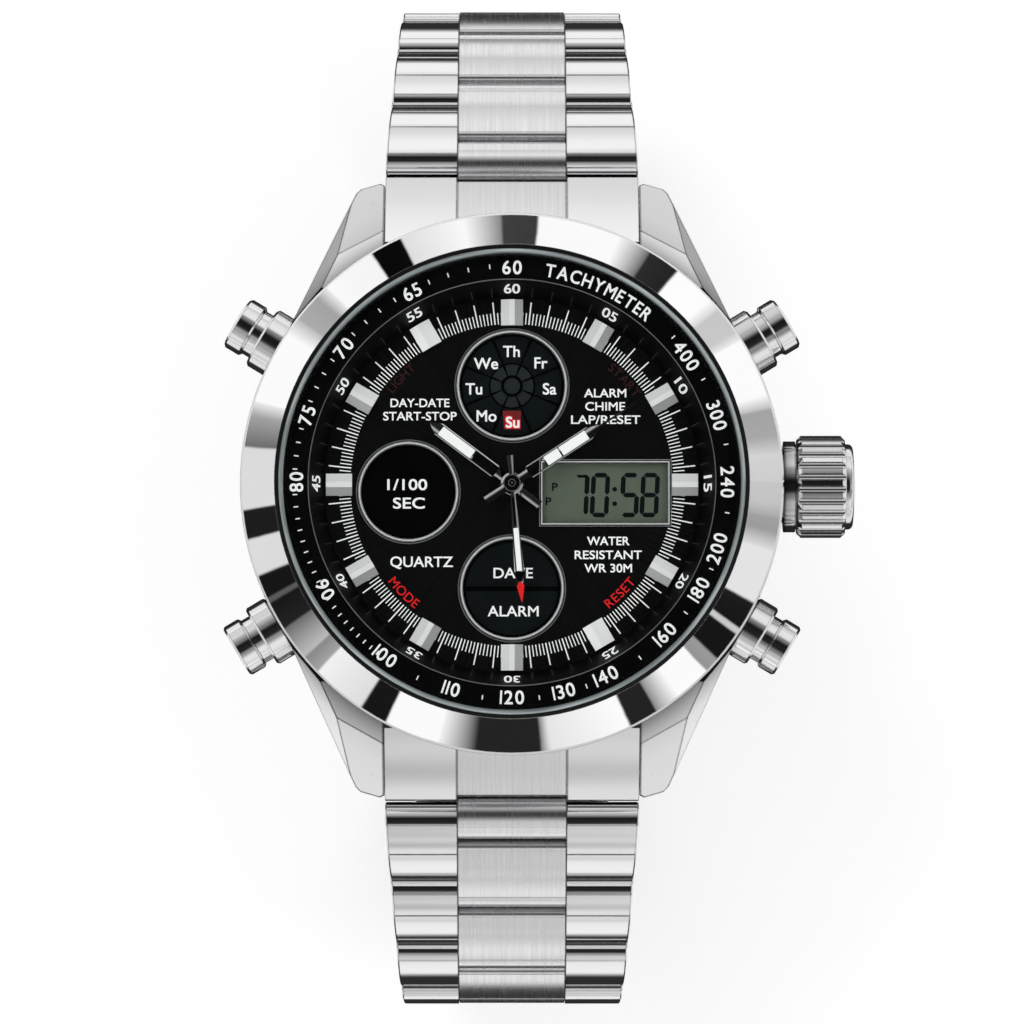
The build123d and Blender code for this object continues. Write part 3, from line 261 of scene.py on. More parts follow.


# Tones across a hand from one edge to the other: painted shade on most of it, a painted highlight on one side beside
# the ridge and painted highlights along both edges
hand_painted_light = (
    (0.0, 0.95), (0.08, 0.85), (0.13, 0.03), (0.5, 0.02), (0.56, 0.1), (0.66, 0.85), (0.76, 0.7),
    (0.84, 0.08), (0.88, 0.05), (0.93, 0.8), (1.0, (0.95, 0.95, 0.96)),
)


def faceted(name, angle, half):
    """The polished steel of a hand at an angle in degrees: ridged, with painted light and painted shade across it.
    """
    s = Shader(name)
    turned = s.node("ShaderNodeVectorRotate", rotation_type="Z_AXIS")
    turned.inputs["Angle"].default_value = math.radians(-angle)
    s.tree.links.new(s.place, turned.inputs["Vector"])
    across = s.split(turned.outputs["Vector"])["Y"]
    roof = s.maths("MULTIPLY", s.maths("ABSOLUTE", across), -0.3)
    lines = s.grain(6000, detail=2)
    s.relief([(roof, 1.0), (lines, 1.5e-7)], 0.00003)
    # Painted light and painted shade across the hand
    painted_facet_light = s.ramp(s.between(across, -half, half), hand_painted_light)
    s.feed(Metallic=1.0, Base_Color=painted_facet_light, Roughness=s.spread(lines, 0.08, 0.13))
    return s.material


def marker_look(name):
    """Satin hour markers with a fine grain and light painted by the way each face turns: a painted white highlight
    on the top, painted light on the sides turned one way and painted shade on those turned away; the painted tones
    also glow faintly.
    """
    s = Shader(name)
    grain = s.grain(5200, detail=4)
    s.relief([(grain, 4e-7)], 0.00003)
    surface = s.node("ShaderNodeNewGeometry")
    lit_side = s.vector("DOT_PRODUCT", surface.outputs["True Normal"], (-0.6, 0.8, 0.0))
    # Painted light and painted shade by the way each face turns, which also glow faintly
    painted_facet_light = s.ramp(s.between(lit_side, -0.5, 0.5), (
        (0.0, (0.16, 0.16, 0.165)), (0.4, 0.45), (0.47, 0.97), (0.53, 0.97), (0.6, 0.75), (1.0, (0.62, 0.62, 0.63))))
    colour = s.blend(s.spread(grain, 0, 0.25), painted_facet_light, (0.5, 0.5, 0.51))
    s.feed(Base_Color=colour, Emission_Color=painted_facet_light, Emission_Strength=0.3, Metallic=0.3,
           Roughness=s.spread(grain, 0.28, 0.4))
    return s.material


def lined(name, base, edge_tone, edge):
    """A thin polished frame: painted dark on its flat, as painted shade for the dark it mirrors, and painted
    highlights along its edges.
    """
    s = Shader(name)
    grain = s.grain(4000, detail=3)
    edge_turn = s.wear(s.relief([(grain, 3e-7)], edge))
    # Painted highlight along the edges, on a flat in painted shade
    s.feed(Base_Color=s.edge_line(edge_turn, base, edge_tone), Metallic=0.45, Roughness=s.spread(grain, 0.25, 0.35))
    return s.material


def seal(name, inner, outer):
    """The clear seal at the crystal's edge: a painted highlight at its outer side, for the crystal's edge catching
    light, dark inwards, with streaks along it.
    """
    s = Shader(name)
    flat = s.flat(s.place)
    radius = s.vector("LENGTH", flat)
    outward = s.node("ShaderNodeCombineXYZ")
    s.tree.links.new(s.maths("MULTIPLY", radius, 900.0), outward.inputs["Z"])
    round_place = s.vector("ADD", s.vector("NORMALIZE", flat), outward.outputs["Vector"])
    streaks = s.noise(round_place, 3.2, detail=3, rough=0.6)
    s.relief([(streaks, 1e-5)], 0.00004)
    # Painted highlight: pale streaks at the outer side, for the crystal's edge catching light
    painted_edge_glint = s.blend(s.spread(streaks, 0, 1), (0.2, 0.24, 0.25), (0.85, 0.92, 0.94))
    colour = s.blend(s.between(radius, inner, outer), (0.006, 0.007, 0.007), painted_edge_glint)
    s.feed(Base_Color=colour, Roughness=0.25, Coat_Weight=0.5)
    return s.material


def coated(name, colour, other, rough=0.4, grain_scale=4000, depth=1.5e-6, metal=0.0, clear=0.0, specular=0.5):
    """Paint, plastic or rubber with a fine grain and two near colours."""
    s = Shader(name)
    grain = s.grain(grain_scale, detail=4)
    broad = s.grain(grain_scale / 14, detail=3)
    s.relief([(grain, depth), (broad, depth * 2)], 0.00004)
    s.feed(Base_Color=s.blend(s.spread(broad, 0, 1), colour, other), Metallic=metal, Coat_Weight=clear,
           Roughness=s.spread(grain, rough * 0.85, rough * 1.2), Specular_IOR_Level=specular)
    return s.material


def sunray(name):
    """Black dial: fine rays from the centre."""
    s = Shader(name)
    rays = s.noise(s.vector("NORMALIZE", s.flat(s.place)), 70, detail=4, rough=0.7)
    grain = s.grain(9000, detail=3)
    s.relief([(rays, 3e-6), (grain, 1e-6)], 0.00003)
    colour = s.blend(s.spread(rays, 0, 1), (0.002, 0.002, 0.0022), (0.009, 0.009, 0.0095))
    s.feed(Base_Color=colour, Roughness=s.spread(grain, 0.38, 0.5), Specular_IOR_Level=0.06)
    return s.material


def clear_crystal(name):
    """Flat glass: mostly clear, a faint sheen that grows at grazing angles, fine scratches."""
    s = Shader(name)
    scratch = s.grain(2600, stretch=(1, 0.03, 1), detail=2)
    bump = s.node("ShaderNodeBump")
    bump.inputs["Distance"].default_value = 4e-8
    s.tree.links.new(scratch, bump.inputs["Height"])
    sheen = s.node("ShaderNodeBsdfGlossy")
    sheen.inputs["Roughness"].default_value = 0.02
    sheen.inputs["Color"].default_value = (0.9, 0.95, 0.95, 1)
    s.link(bump, "Normal", sheen, "Normal")
    clear = s.node("ShaderNodeBsdfTransparent")
    clear.inputs["Color"].default_value = (0.985, 0.992, 0.99, 1)
    facing = s.node("ShaderNodeLayerWeight")
    facing.inputs["Blend"].default_value = 0.12
    amount = s.maths("MULTIPLY", facing.outputs["Fresnel"], 0.35)
    glass = s.mix_shaders(amount, clear.outputs["BSDF"], sheen.outputs["BSDF"])
    s.tree.links.new(glass, s.out.inputs["Surface"])
    return s.material


def glow(name, colour, other, strength):
    """Paint for lettering and luminous filling: nearly matt, with a painted glow that keeps it evenly bright."""
    s = Shader(name)
    grain = s.grain(6000, detail=3)
    s.relief([(grain, 8e-7)], 0.00002)
    tone = s.blend(s.spread(grain, 0, 1), colour, other)
    s.feed(Base_Color=tone, Roughness=0.6, Emission_Color=tone, Emission_Strength=strength)
    return s.material


# Every polished steel below carries painted dark edge lines: painted shade for the dark that rounded edges mirror
steel = polished("polished_steel")
# The lugs are shaded where they go under the bezel
lug_tones = ((0.0, 0.3), (0.16, 0.62), (0.3, 0.85), (0.55, 0.95), (1.0, 1.0))
lug_root_r = 23.3 * MM
lug_clear_r = 29.0 * MM
case_steel = polished("case_steel", base=(0.93, 0.93, 0.94), rough=0.05, edge=0.00024, line=0.02,
                      grading=(lug_root_r, lug_clear_r, lug_tones), span=(0.045, 0.09))
bezel_steel = polished("bezel_steel", base=(0.84, 0.84, 0.845), rough=0.02, edge=0.00012, line=0.05)
centre_row_half = 4.78 * MM
link_steel = bracelet_steel("bracelet_steel", centre_row_half)
satin = brushed("satin_steel")
back_steel = brushed("back_steel", stretch=(0.05, 1, 1), rough=0.34)
clasp_steel = brushed("clasp_steel", base=(0.7, 0.7, 0.71), rough=0.22)
spring_steel = brushed("spring_steel", base=(0.45, 0.45, 0.46), rough=0.35, stretch=(1, 1, 0.1))
marker_steel = marker_look("marker_steel")
# Window frames: a flat in painted shade and painted highlights on the edges
frame_steel = lined("frame_steel", (0.03, 0.03, 0.031), (0.97, 0.97, 0.97), 0.00009)
# Painted highlight: grey steel that glows faintly, for the bright lines on the window frames
painted_highlight_steel = glow("painted_highlight_steel", (0.8, 0.8, 0.81), (0.6, 0.6, 0.61), 0.3)
fine_steel = coated("fine_steel", (0.3, 0.3, 0.31), (0.22, 0.22, 0.225), rough=0.3, metal=0.5, depth=2e-7)
# Where the hands stand, in degrees from 3 o'clock, anticlockwise
hour_angle = 143.0
minute_angle = 33.2
second_angle = -85.2
hand_half = 0.62 * MM
second_half = 0.45 * MM
hour_steel = faceted("hour_steel", hour_angle, hand_half)
minute_steel = faceted("minute_steel", minute_angle, hand_half)
second_steel = faceted("second_steel", second_angle, second_half)
brass = coated("brass", (0.62, 0.44, 0.17), (0.7, 0.52, 0.24), rough=0.25, metal=1.0)
copper = coated("copper_wire", (0.6, 0.24, 0.1), (0.7, 0.32, 0.15), rough=0.3, metal=1.0)
board = coated("board_green", (0.01, 0.09, 0.03), (0.02, 0.13, 0.05), clear=0.4)
holder = coated("holder_plastic", (0.6, 0.58, 0.52), (0.55, 0.53, 0.48), rough=0.5)
crystal_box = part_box("crystal")
crystal_r = (crystal_box[1][0] - crystal_box[0][0]) / 2
rubber = seal("seal_rubber", crystal_r - 0.1 * MM, crystal_r + 0.25 * MM)
ring_black = coated("ring_black", (0.002, 0.002, 0.0022), (0.004, 0.004, 0.0042), rough=0.42, specular=0.05)
gloss_black = coated("gloss_black", (0.002, 0.002, 0.0024), (0.004, 0.004, 0.005), rough=0.22, specular=0.05)
segment_dark = coated("segment_dark", (0.0075, 0.0105, 0.012), (0.009, 0.013, 0.0145), rough=0.3, specular=0.08)
segment_grey = coated("segment_grey", (0.03, 0.037, 0.038), (0.022, 0.028, 0.03), rough=0.35, specular=0.1)
display = coated("display_glass", (0.17, 0.2, 0.155), (0.15, 0.18, 0.14), rough=0.3, grain_scale=2500, depth=4e-7,
                 specular=0.1)
digit_ink = coated("digit_ink", (0.005, 0.008, 0.008), (0.008, 0.012, 0.012), specular=0.05)
dial_black = sunray("dial_black")
crystal_glass = clear_crystal("crystal_glass")
# The prints and luminous fillings below glow faintly: painted light that keeps them evenly bright
white_print = glow("white_print", (0.88, 0.88, 0.88), (0.82, 0.82, 0.82), 0.42)
slope_print = glow("slope_print", (0.85, 0.85, 0.85), (0.8, 0.8, 0.8), 0.6)
grey_print = glow("grey_print", (0.06, 0.06, 0.06), (0.045, 0.045, 0.045), 0.02)
red_print = glow("red_print", (0.72, 0.003, 0.005), (0.6, 0.003, 0.004), 0.4)
dim_red_print = glow("dim_red_print", (0.05, 0.003, 0.004), (0.036, 0.002, 0.003), 0.05)
panel_red = glow("panel_red", (0.24, 0.006, 0.008), (0.16, 0.004, 0.005), 0.15)
lume = glow("lume", (0.9, 0.92, 0.9), (0.84, 0.86, 0.84), 0.42)
red_paint = glow("red_paint", (0.75, 0.003, 0.004), (0.62, 0.003, 0.004), 0.4)

# Every CAD node's look; the links are of bracelet steel, and what isn't named here is polished
look_of = {}
for look, names in (
        (case_steel, ("mid_case",)),
        (bezel_steel, ("bezel",)),
        (crystal_glass, ("crystal",)),
        (rubber, ("gaskets",)),
        (ring_black, ("tachymeter_ring",)),
        (dial_black, ("dial",)),
        (marker_steel, ("hour_markers",)),
        (frame_steel, ("dial_frames",)),
        (display, ("lcd_panel",)),
        (hour_steel, ("hour_hand",)),
        (minute_steel, ("minute_hand",)),
        (second_steel, ("second_hand",)),
        (brass, ("hour_wheel", "centre_wheel", "seconds_wheel", "minute_wheel", "third_wheel", "main_plate",
                 "train_bridge", "buzzer")),
        (spring_steel, ("rotor", "battery_clip", "crown_tube", "winding_stem", "setting_lever", "pusher_springs",
                        "spring_bars")),
        (copper, ("stepper_coil",)),
        (satin, ("battery",)),
        (board, ("circuit_board",)),
        (holder, ("movement_ring",)),
        (back_steel, ("case_back",)),
        (link_steel, ("end_link_12", "end_link_6")),
        (clasp_steel, ("clasp_cover", "clasp_outer_blade", "clasp_inner_blade"))):
    look_of.update((name, look) for name in names)
for name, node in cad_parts.items():
    other = link_steel if name.startswith("link_") else steel
    node.data.materials.clear()
    node.data.materials.append(look_of.get(name, other))


# Shapes. Lengths from here on are in millimetres; a shape is its vertices, in metres, and its faces
def piece(name, shape, material, body="case", smooth=False):
    """A mesh piece that rides on a body."""
    verts, faces = shape
    mesh = bpy.data.meshes.new(name)
    mesh.from_pydata([tuple(v) for v in verts], [], faces)
    mesh.update()
    mesh.materials.append(material)
    if smooth:
        mesh.polygons.foreach_set("use_smooth", [True] * len(mesh.polygons))
    made = bpy.data.objects.new(name, mesh)
    bpy.context.scene.collection.objects.link(made)
    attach(made, body)
    return made


def prism(points, low, high, place=None):
    """A flat outline raised from low to high."""
    place = place or Matrix.Identity(4)
    count = len(points)
    verts = []
    for z in (low, high):
        for x, y in points:
            verts.append((place @ Vector((x, y, z))) * MM)
    faces = [list(range(count))[::-1], list(range(count, 2 * count))]
    for i in range(count):
        j = (i + 1) % count
        faces.append([i, j, count + j, count + i])
    return verts, faces


def joined(shapes):
    """Several shapes as one."""
    verts = []
    faces = []
    for more_verts, more_faces in shapes:
        base = len(verts)
        verts.extend(more_verts)
        faces.extend([[i + base for i in face] for face in more_faces])
    return verts, faces


def lathe(profile, centre=(0, 0), steps=96):
    """A ring or dome: a closed profile of (radius, z) turned round a centre."""
    verts = []
    faces = []
    rows = len(profile)
    for step in range(steps):
        turn = 2 * math.pi * step / steps
        for r, z in profile:
            verts.append(Vector((centre[0] + r * math.cos(turn), centre[1] + r * math.sin(turn), z)) * MM)
        after = (step + 1) % steps
        for i in range(rows):
            j = (i + 1) % rows
            faces.append([step * rows + i, after * rows + i, after * rows + j, step * rows + j])
    return verts, faces


def wire_ring(radius, z, thick, centre=(0, 0), steps=96):
    """A ring of round wire; thick is the wire's radius."""
    sides = 10
    turns = [2 * math.pi * side / sides for side in range(sides)]
    profile = [(radius + thick * math.cos(turn), z + thick * math.sin(turn)) for turn in turns]
    return lathe(profile, centre, steps)


def arc(radius, start, end, centre=(0, 0), steps=10):
    """Points along an arc; angles in degrees."""
    points = []
    for step in range(steps + 1):
        turn = math.radians(start + (end - start) * step / steps)
        points.append((centre[0] + radius * math.cos(turn), centre[1] + radius * math.sin(turn)))
    return points


def sector(inner, outer, start, end, centre):
    """The outline of a ring sector; angles in degrees."""
    return arc(outer, start, end, centre) + arc(inner, end, start, centre)


def circle(radius, centre, steps):
    """The outline of a round face."""
    return arc(radius, 0, 360, centre, steps)[:-1]


def glyphs(body):
    """Flat letters of unit size as (points, faces, box)."""
    curve = bpy.data.curves.new("letters", "FONT")
    curve.body = body
    curve.resolution_u = 4
    letters = bpy.data.objects.new("letters", curve)
    bpy.context.scene.collection.objects.link(letters)
    graph = bpy.context.evaluated_depsgraph_get()
    mesh = bpy.data.meshes.new_from_object(letters.evaluated_get(graph))
    points = [(v.co.x, v.co.y) for v in mesh.vertices]
    faces = [list(p.vertices) for p in mesh.polygons]
    bpy.data.objects.remove(letters)
    bpy.data.curves.remove(curve)
    bpy.data.meshes.remove(mesh)
    xs = [p[0] for p in points]
    ys = [p[1] for p in points]
    return points, faces, (min(xs), min(ys), max(xs), max(ys))


CAP = glyphs("H")[2][3]


def flat_place(x, y, z):
    return Matrix.Translation((x, y, z))


def ring_place(radius, angle, z, inward=False):
    """A place on a circle: letters stand with their tops outward, or towards the centre."""
    turn = math.radians(angle)
    spot = Matrix.Translation((radius * math.cos(turn), radius * math.sin(turn), z))
    return spot @ Matrix.Rotation(turn + (math.pi / 2 if inward else -math.pi / 2), 4, "Z")


class Print:
    """Flat printing gathered into one piece: letters, ticks and outlines at given places."""

    def __init__(self):
        self.shapes = []

    def word(self, body, place, height, width=None, bold=0.02):
        """One word, centred on its place, with capitals of this height. Bold layers lie a hair apart."""
        points, faces, box = glyphs(body)
        rise = (height - 2 * bold) / CAP
        run = rise if width is None else (width - 2 * bold) / (box[2] - box[0])
        middle = (box[0] + box[2]) / 2
        layer_gap = 0.0015
        shifts = ((-1, -1), (1, -1), (-1, 1), (1, 1)) if bold else ((0, 0),)
        for layer, (right, up) in enumerate(shifts):
            verts = []
            for x, y in points:
                spot = ((x - middle) * run + right * bold, (y - CAP / 2) * rise + up * bold, layer_gap * layer)
                verts.append((place @ Vector(spot)) * MM)
            self.shapes.append((verts, faces))

    def outline(self, points, place):
        verts = [(place @ Vector((x, y, 0))) * MM for x, y in points]
        self.shapes.append((verts, [list(range(len(points)))]))

    def bar(self, low, high, width, place):
        """An upright bar from low to high above its place."""
        half = width / 2
        self.outline([(-half, low), (half, low), (half, high), (-half, high)], place)

    def arc_word(self, body, radius, middle, z, height, inward=False, spacing=0.16, stretch=1.0, bold=0.03):
        """A word along a circle, letter by letter; inward letters have their tops towards the centre."""
        rise = height / CAP
        widths = []
        for letter in body:
            box = glyphs(letter)[2]
            widths.append((box[2] - box[0]) * rise * stretch)
        gap = spacing * height
        run = -(sum(widths) + gap * (len(body) - 1)) / 2
        for letter, width in zip(body, widths):
            step = math.degrees((run + width / 2) / radius)
            run += width + gap
            angle = middle + step if inward else middle - step
            self.word(letter, ring_place(radius, angle, z, inward), height, width=width, bold=bold)

    def make(self, name, material):
        return piece(name, joined(self.shapes), material)


def top_of(name):
    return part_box(name)[1][2] / MM


# Levels of the CAD's faces, and where the dial's four windows are
dial_z = top_of("dial")
ring_z = top_of("tachymeter_ring")
panel_z = top_of("lcd_panel")
frame_z = top_of("dial_frames")
hour_z = top_of("hour_hand")
minute_z = top_of("minute_hand")
second_z = top_of("second_hand")
hand_t = 0.18
lift = 0.012
day_place = (0.0, 8.6)
lap_place = (-8.95, -0.6)
date_place = (0.0, -8.95)
lcd_place = (8.05, -0.7)


def by_window(window, x, y, z):
    """A place beside the middle of a window."""
    return flat_place(window[0] + x, window[1] + y, z)


# Tachymeter scale on the flat ring: a speed stands where the second hand is after 3600 / speed seconds
scale = Print()
scale_r = 18.5
scale_z = ring_z + lift
scale_bold = 0.022
numbered_speeds = (400, 300, 240, 200, 180, 160, 140, 130, 120, 110, 100, 90, 80, 75, 70, 65, 60)
ticked_speeds = [speed for speed in range(61, 100) if speed not in numbered_speeds]
ticked_speeds += [105, 115, 125, 135, 150, 170, 190, 220, 270, 350, 450]


def speed_turn(speed):
    """Degrees clockwise from 12 o'clock."""
    return 360 * 60 / speed


for speed in numbered_speeds:
    inward = 90 < speed_turn(speed) < 265
    scale.arc_word(str(speed), scale_r, 90 - speed_turn(speed), scale_z, 1.17, inward, spacing=0.17, bold=scale_bold)
scale.arc_word("TACHYMETER", scale_r, 65.6, scale_z, 1.14, spacing=0.18, stretch=0.87, bold=scale_bold)
for speed in ticked_speeds:
    scale.bar(scale_r - 0.05, scale_r + 0.35, 0.1, ring_place(0, 90 - speed_turn(speed), scale_z))
scale.make("tachymeter_print", white_print)

# Minute numbers on the slope of the ring, and a thin steel line on its upper edge
foot_r = 16.25
lip_r = 17.5
foot_z = dial_z + 0.05
slope_rise = (ring_z - 0.2) - foot_z
slope_turn = math.atan2(slope_rise, lip_r - foot_r)
off_slope = 0.03
slope_middle_r = (foot_r + lip_r) / 2 - off_slope * math.sin(slope_turn)
slope_middle_z = foot_z + slope_rise / 2 + off_slope * math.cos(slope_turn)


def slope_place(angle):
    """A place halfway up the ring's slope, just off its face."""
    return ring_place(slope_middle_r, angle, slope_middle_z) @ Matrix.Rotation(slope_turn, 4, "X")


numbers = Print()
slope_ticks = Print()
for minute in range(60):
    place = slope_place(90 - 6 * minute)
    if minute % 5:
        slope_ticks.bar(-1.5, 0.2, 0.06, place)
    else:
        numbers.word("%02d" % (minute or 60), place, 1.75, width=1.4, bold=0.025)
numbers.make("minute_numbers", slope_print)
slope_ticks.make("slope_ticks", grey_print)
piece("ring_edge_line", wire_ring(lip_r, ring_z, 0.045, steps=180), spring_steel, smooth=True)

# Minute track on the dial: five steps a minute, with a longer tick at each minute and none by the hour markers
track = Print()
steps_per_minute = 5
steps_per_hour_mark = 5 * steps_per_minute
marker_half = 2
for step in range(60 * steps_per_minute):
    from_marker = min(step % steps_per_hour_mark, -step % steps_per_hour_mark)
    if from_marker > marker_half:
        end, width = (14.95, 0.085) if step % steps_per_minute else (15.9, 0.11)
        track.bar(13.95, end, width, ring_place(0, 90 - 6 * step / steps_per_minute, dial_z + lift))
track.make("minute_track", white_print)

# Words on the dial: the middle, the height of the capitals and the width of each
print_z = dial_z + lift
words = Print()
for body, x, y, height, width in (
        ("DAY-DATE", -7.95, 7.1, 0.74, 5.1),
        ("START-STOP", -7.95, 5.95, 0.74, 6.35),
        ("ALARM", 8.05, 7.95, 0.74, 3.65),
        ("CHIME", 8.05, 6.8, 0.74, 3.45),
        ("LAP/RESET", 8.1, 5.65, 0.74, 6.0),
        ("WATER", 8.3, -4.85, 0.74, 3.65),
        ("RESISTANT", 8.3, -6.05, 0.74, 5.8),
        ("WR 30M", 8.3, -7.2, 0.74, 4.1),
        ("QUARTZ", -7.8, -6.65, 0.9, 5.4)):
    words.word(body, flat_place(x, y, print_z), height, width=width, bold=0.014)
words.make("dial_words", white_print)
red_words = Print()
for body, angle in (("MODE", -135.0), ("RESET", -45.0)):
    red_words.arc_word(body, 13.2, angle, print_z, 0.8, inward=True, bold=0.006)
red_words.make("red_words", red_print)
dim_words = Print()
for body, angle in (("LIGHT", 136.0), ("START", 43.0)):
    dim_words.arc_word(body, 13.35, angle, print_z, 0.75, bold=0.0)
dim_words.make("dim_red_words", dim_red_print)

# Faces behind the three round windows, and the liquid crystal segments on two of them
face_z = panel_z + 0.01
face_top = face_z + 0.06
segment_top = face_top + 0.05


def window_face(name, radius, window):
    piece(name, prism(circle(radius, window, 64), face_z, face_top), gloss_black)


window_face("lap_face", 4.05, lap_place)
lap_words = Print()
lap_words.word("1/100", by_window(lap_place, -0.1, 0.65, face_top + lift), 0.95, width=3.45)
lap_words.word("SEC", by_window(lap_place, 0.05, -0.95, face_top + lift), 0.95, width=2.75)
lap_words.make("lap_words", white_print)

window_face("day_face", 4.5, day_place)
petals = []
hub = []
for index in range(8):
    middle = 90 - 45 * index
    petals.append(prism(sector(2.02, 4.3, middle - 20.5, middle + 20.5, day_place), face_top, segment_top))
    hub.append(prism(sector(0.95, 1.86, middle - 19, middle + 19, day_place), face_top, segment_top))
hub.append(prism(circle(0.68, day_place, 32), face_top, segment_top))
piece("day_segments", joined(petals), segment_dark)
piece("day_hub", joined(hub), segment_grey)
day_words = Print()
for body, x, y in (("Th", -0.05, 3.0), ("Fr", 2.5, 2.0), ("Sa", 3.25, -0.25), ("Mo", -2.2, -2.6),
                   ("Tu", -3.3, -0.25), ("We", -2.25, 1.95)):
    day_words.word(body, by_window(day_place, x, y, segment_top + lift), 0.98)
day_words.make("day_words", white_print)
for name, layer, height, bold, ink in (("sunday_word", 2, 0.96, 0.03, white_print),
                                       ("sunday_red", 1, 1.14, 0.1, red_print)):
    sunday = Print()
    sunday.word("Su", by_window(day_place, 0.05, -3.15, segment_top + layer * lift), height, bold=bold)
    sunday.make(name, ink)
sunday_panel = Print()
sunday_panel.outline([(-0.7, -0.8), (0.7, -0.8), (0.8, 0.8), (-0.8, 0.8)],
                     by_window(day_place, 0, -2.95, segment_top + 0.005))
sunday_panel.make("sunday_panel", panel_red)

window_face("date_face", 4.2, date_place)
halves = [prism(arc(4.0, start, start + 174, date_place, 40), face_top, segment_top) for start in (3, 183)]
piece("date_segments", joined(halves), segment_dark)
date_words = Print()
date_words.word("DATE", by_window(date_place, 0.1, 1.35, segment_top + lift), 0.9, width=3.4, bold=0.014)
date_words.word("ALARM", by_window(date_place, 0.1, -1.95, segment_top + lift), 0.9, width=4.4, bold=0.014)
date_words.make("date_words", white_print)

# A thin ring on the dial round each round window, and a painted highlight line on the top of each window's frame,
# which glows faintly
rings = []
lines = []
for window, frame_r in ((day_place, 4.55), (lap_place, 4.1), (date_place, 4.25)):
    rings.append(wire_ring(frame_r + 0.37, dial_z + 0.04, 0.06, window))
    lines.append(wire_ring(frame_r + 0.12, frame_z, 0.055, window))
line_x = 5.5
line_y = 2.7
line_half = 0.035
for low, high in (((-line_x, line_y), (line_x, line_y)), ((-line_x, -line_y), (line_x, -line_y)),
                  ((-line_x, -line_y), (-line_x, line_y)), ((line_x, -line_y), (line_x, line_y))):
    x0, y0 = (lcd_place[axis] + low[axis] - line_half for axis in (0, 1))
    x1, y1 = (lcd_place[axis] + high[axis] + line_half for axis in (0, 1))
    lines.append(prism([(x0, y0), (x1, y0), (x1, y1), (x0, y1)], frame_z - 0.02, frame_z + 0.03))
piece("window_rings", joined(rings), fine_steel, smooth=True)
piece("frame_lines", joined(lines), painted_highlight_steel)


# Liquid crystal digits: seven sloping segments each
def segment(start, end, thick):
    """A six-sided bar between two points."""
    along = (end - start).normalized()
    side = Vector((-along.y, along.x)) * thick / 2
    inset = along * thick / 2
    corners = [start, start + inset + side, end - inset + side, end, end - inset - side, start + inset - side]
    return [(c.x, c.y) for c in corners]


# Each segment's ends as shares of the digit's width and height
bars = {
    "a": ((0, 1), (1, 1)), "b": ((1, 1), (1, 0.5)), "c": ((1, 0.5), (1, 0)), "d": ((0, 0), (1, 0)),
    "e": ((0, 0.5), (0, 0)), "f": ((0, 1), (0, 0.5)), "g": ((0, 0.5), (1, 0.5)),
}
lit = {"1": "bc", "0": "abcdef", "5": "afgcd", "8": "abcdefg"}
digit_w = 1.22
digit_h = 3.45
slant = 0.05
digit_y = -0.15
bar_t = 0.4
bar_gap = 0.02
digits = Print()
panel_place = by_window(lcd_place, 0, 0, panel_z + lift)
for body, left in (("1", -2.92), ("0", -1.15), ("5", 1.42), ("8", 3.15)):
    for bar in lit[body]:
        start, end = (Vector((left + x * digit_w + slant * y * digit_h, (y - 0.5) * digit_h + digit_y))
                      for x, y in bars[bar])
        shrink = (end - start) * bar_gap
        digits.outline(segment(start + shrink, end - shrink, bar_t), panel_place)
digits.outline([(-2.3, 1.35), (-1.65, 1.35), (-1.5, 1.6), (-2.5, 1.6)], panel_place)
for y in (0.35, -0.9):
    digits.outline(circle(0.21, (0.82, y), 12), panel_place)
for x, y in ((-4.35, 0.55), (-4.9, -0.7)):
    digits.word("P", by_window(lcd_place, x, y, panel_z + lift), 0.7, width=0.5)
digits.make("display_digits", digit_ink)


# Luminous filling in the hands' windows; along a hand, x is the distance from the middle
def filling(name, body, angle, top, windows, half):
    place = Matrix.Rotation(math.radians(angle), 4, "Z")
    shapes = []
    for start, end in windows:
        points = [(start, -half), (end, -half), (end, half), (start, half)]
        shapes.append(prism(points, top - hand_t + 0.02, top + 0.03, place))
    bevel = piece(name, joined(shapes), lume, body).modifiers.new("soft_edges", "BEVEL")
    bevel.width = 0.03 * MM
    bevel.segments = 2
    bevel.limit_method = "ANGLE"


filling("hour_lume", "hour", hour_angle, hour_z, ((4.25, 7.7),), 0.425)
filling("minute_lume", "minute", minute_angle, minute_z, ((3.5, 4.9), (5.05, 7.7)), 0.425)
filling("second_lume", "second", second_angle, second_z, ((3.9, 7.6),), 0.22)

# The second hand's red tip and dark band, which wrap it, and its black hub cap with fine rings
second_place = Matrix.Rotation(math.radians(second_angle), 4, "Z")
tip = [(8.55, -0.1), (8.9, -0.33), (10.3, -0.03), (10.3, 0.03), (8.9, 0.33), (8.55, 0.1)]
band = [(7.68, -0.435), (8.5, -0.2), (8.5, 0.2), (7.68, 0.435)]
for name, points, paint in (("second_tip", tip, red_paint), ("second_band", band, gloss_black)):
    piece(name, prism(points, second_z - hand_t - 0.01, second_z + 0.02, second_place), paint, "second")
cap_profile = [(0.0, 0.24), (0.4, 0.24), (0.66, 0.19), (0.74, 0.1), (0.76, 0.01), (0.0, 0.01)]
pip_profile = [(0.0, 0.3), (0.09, 0.28), (0.12, 0.22), (0.0, 0.22)]
cap, pip = ([(r, second_z + rise) for r, rise in profile] for profile in (cap_profile, pip_profile))
piece("second_cap", lathe(cap, steps=48), gloss_black, "second", smooth=True)
hub_lines = [wire_ring(0.7, second_z + 0.15, 0.035, steps=64), wire_ring(0.3, second_z + 0.245, 0.03, steps=48),
             lathe(pip, steps=24)]
piece("second_hub_lines", joined(hub_lines), fine_steel, "second", smooth=True)


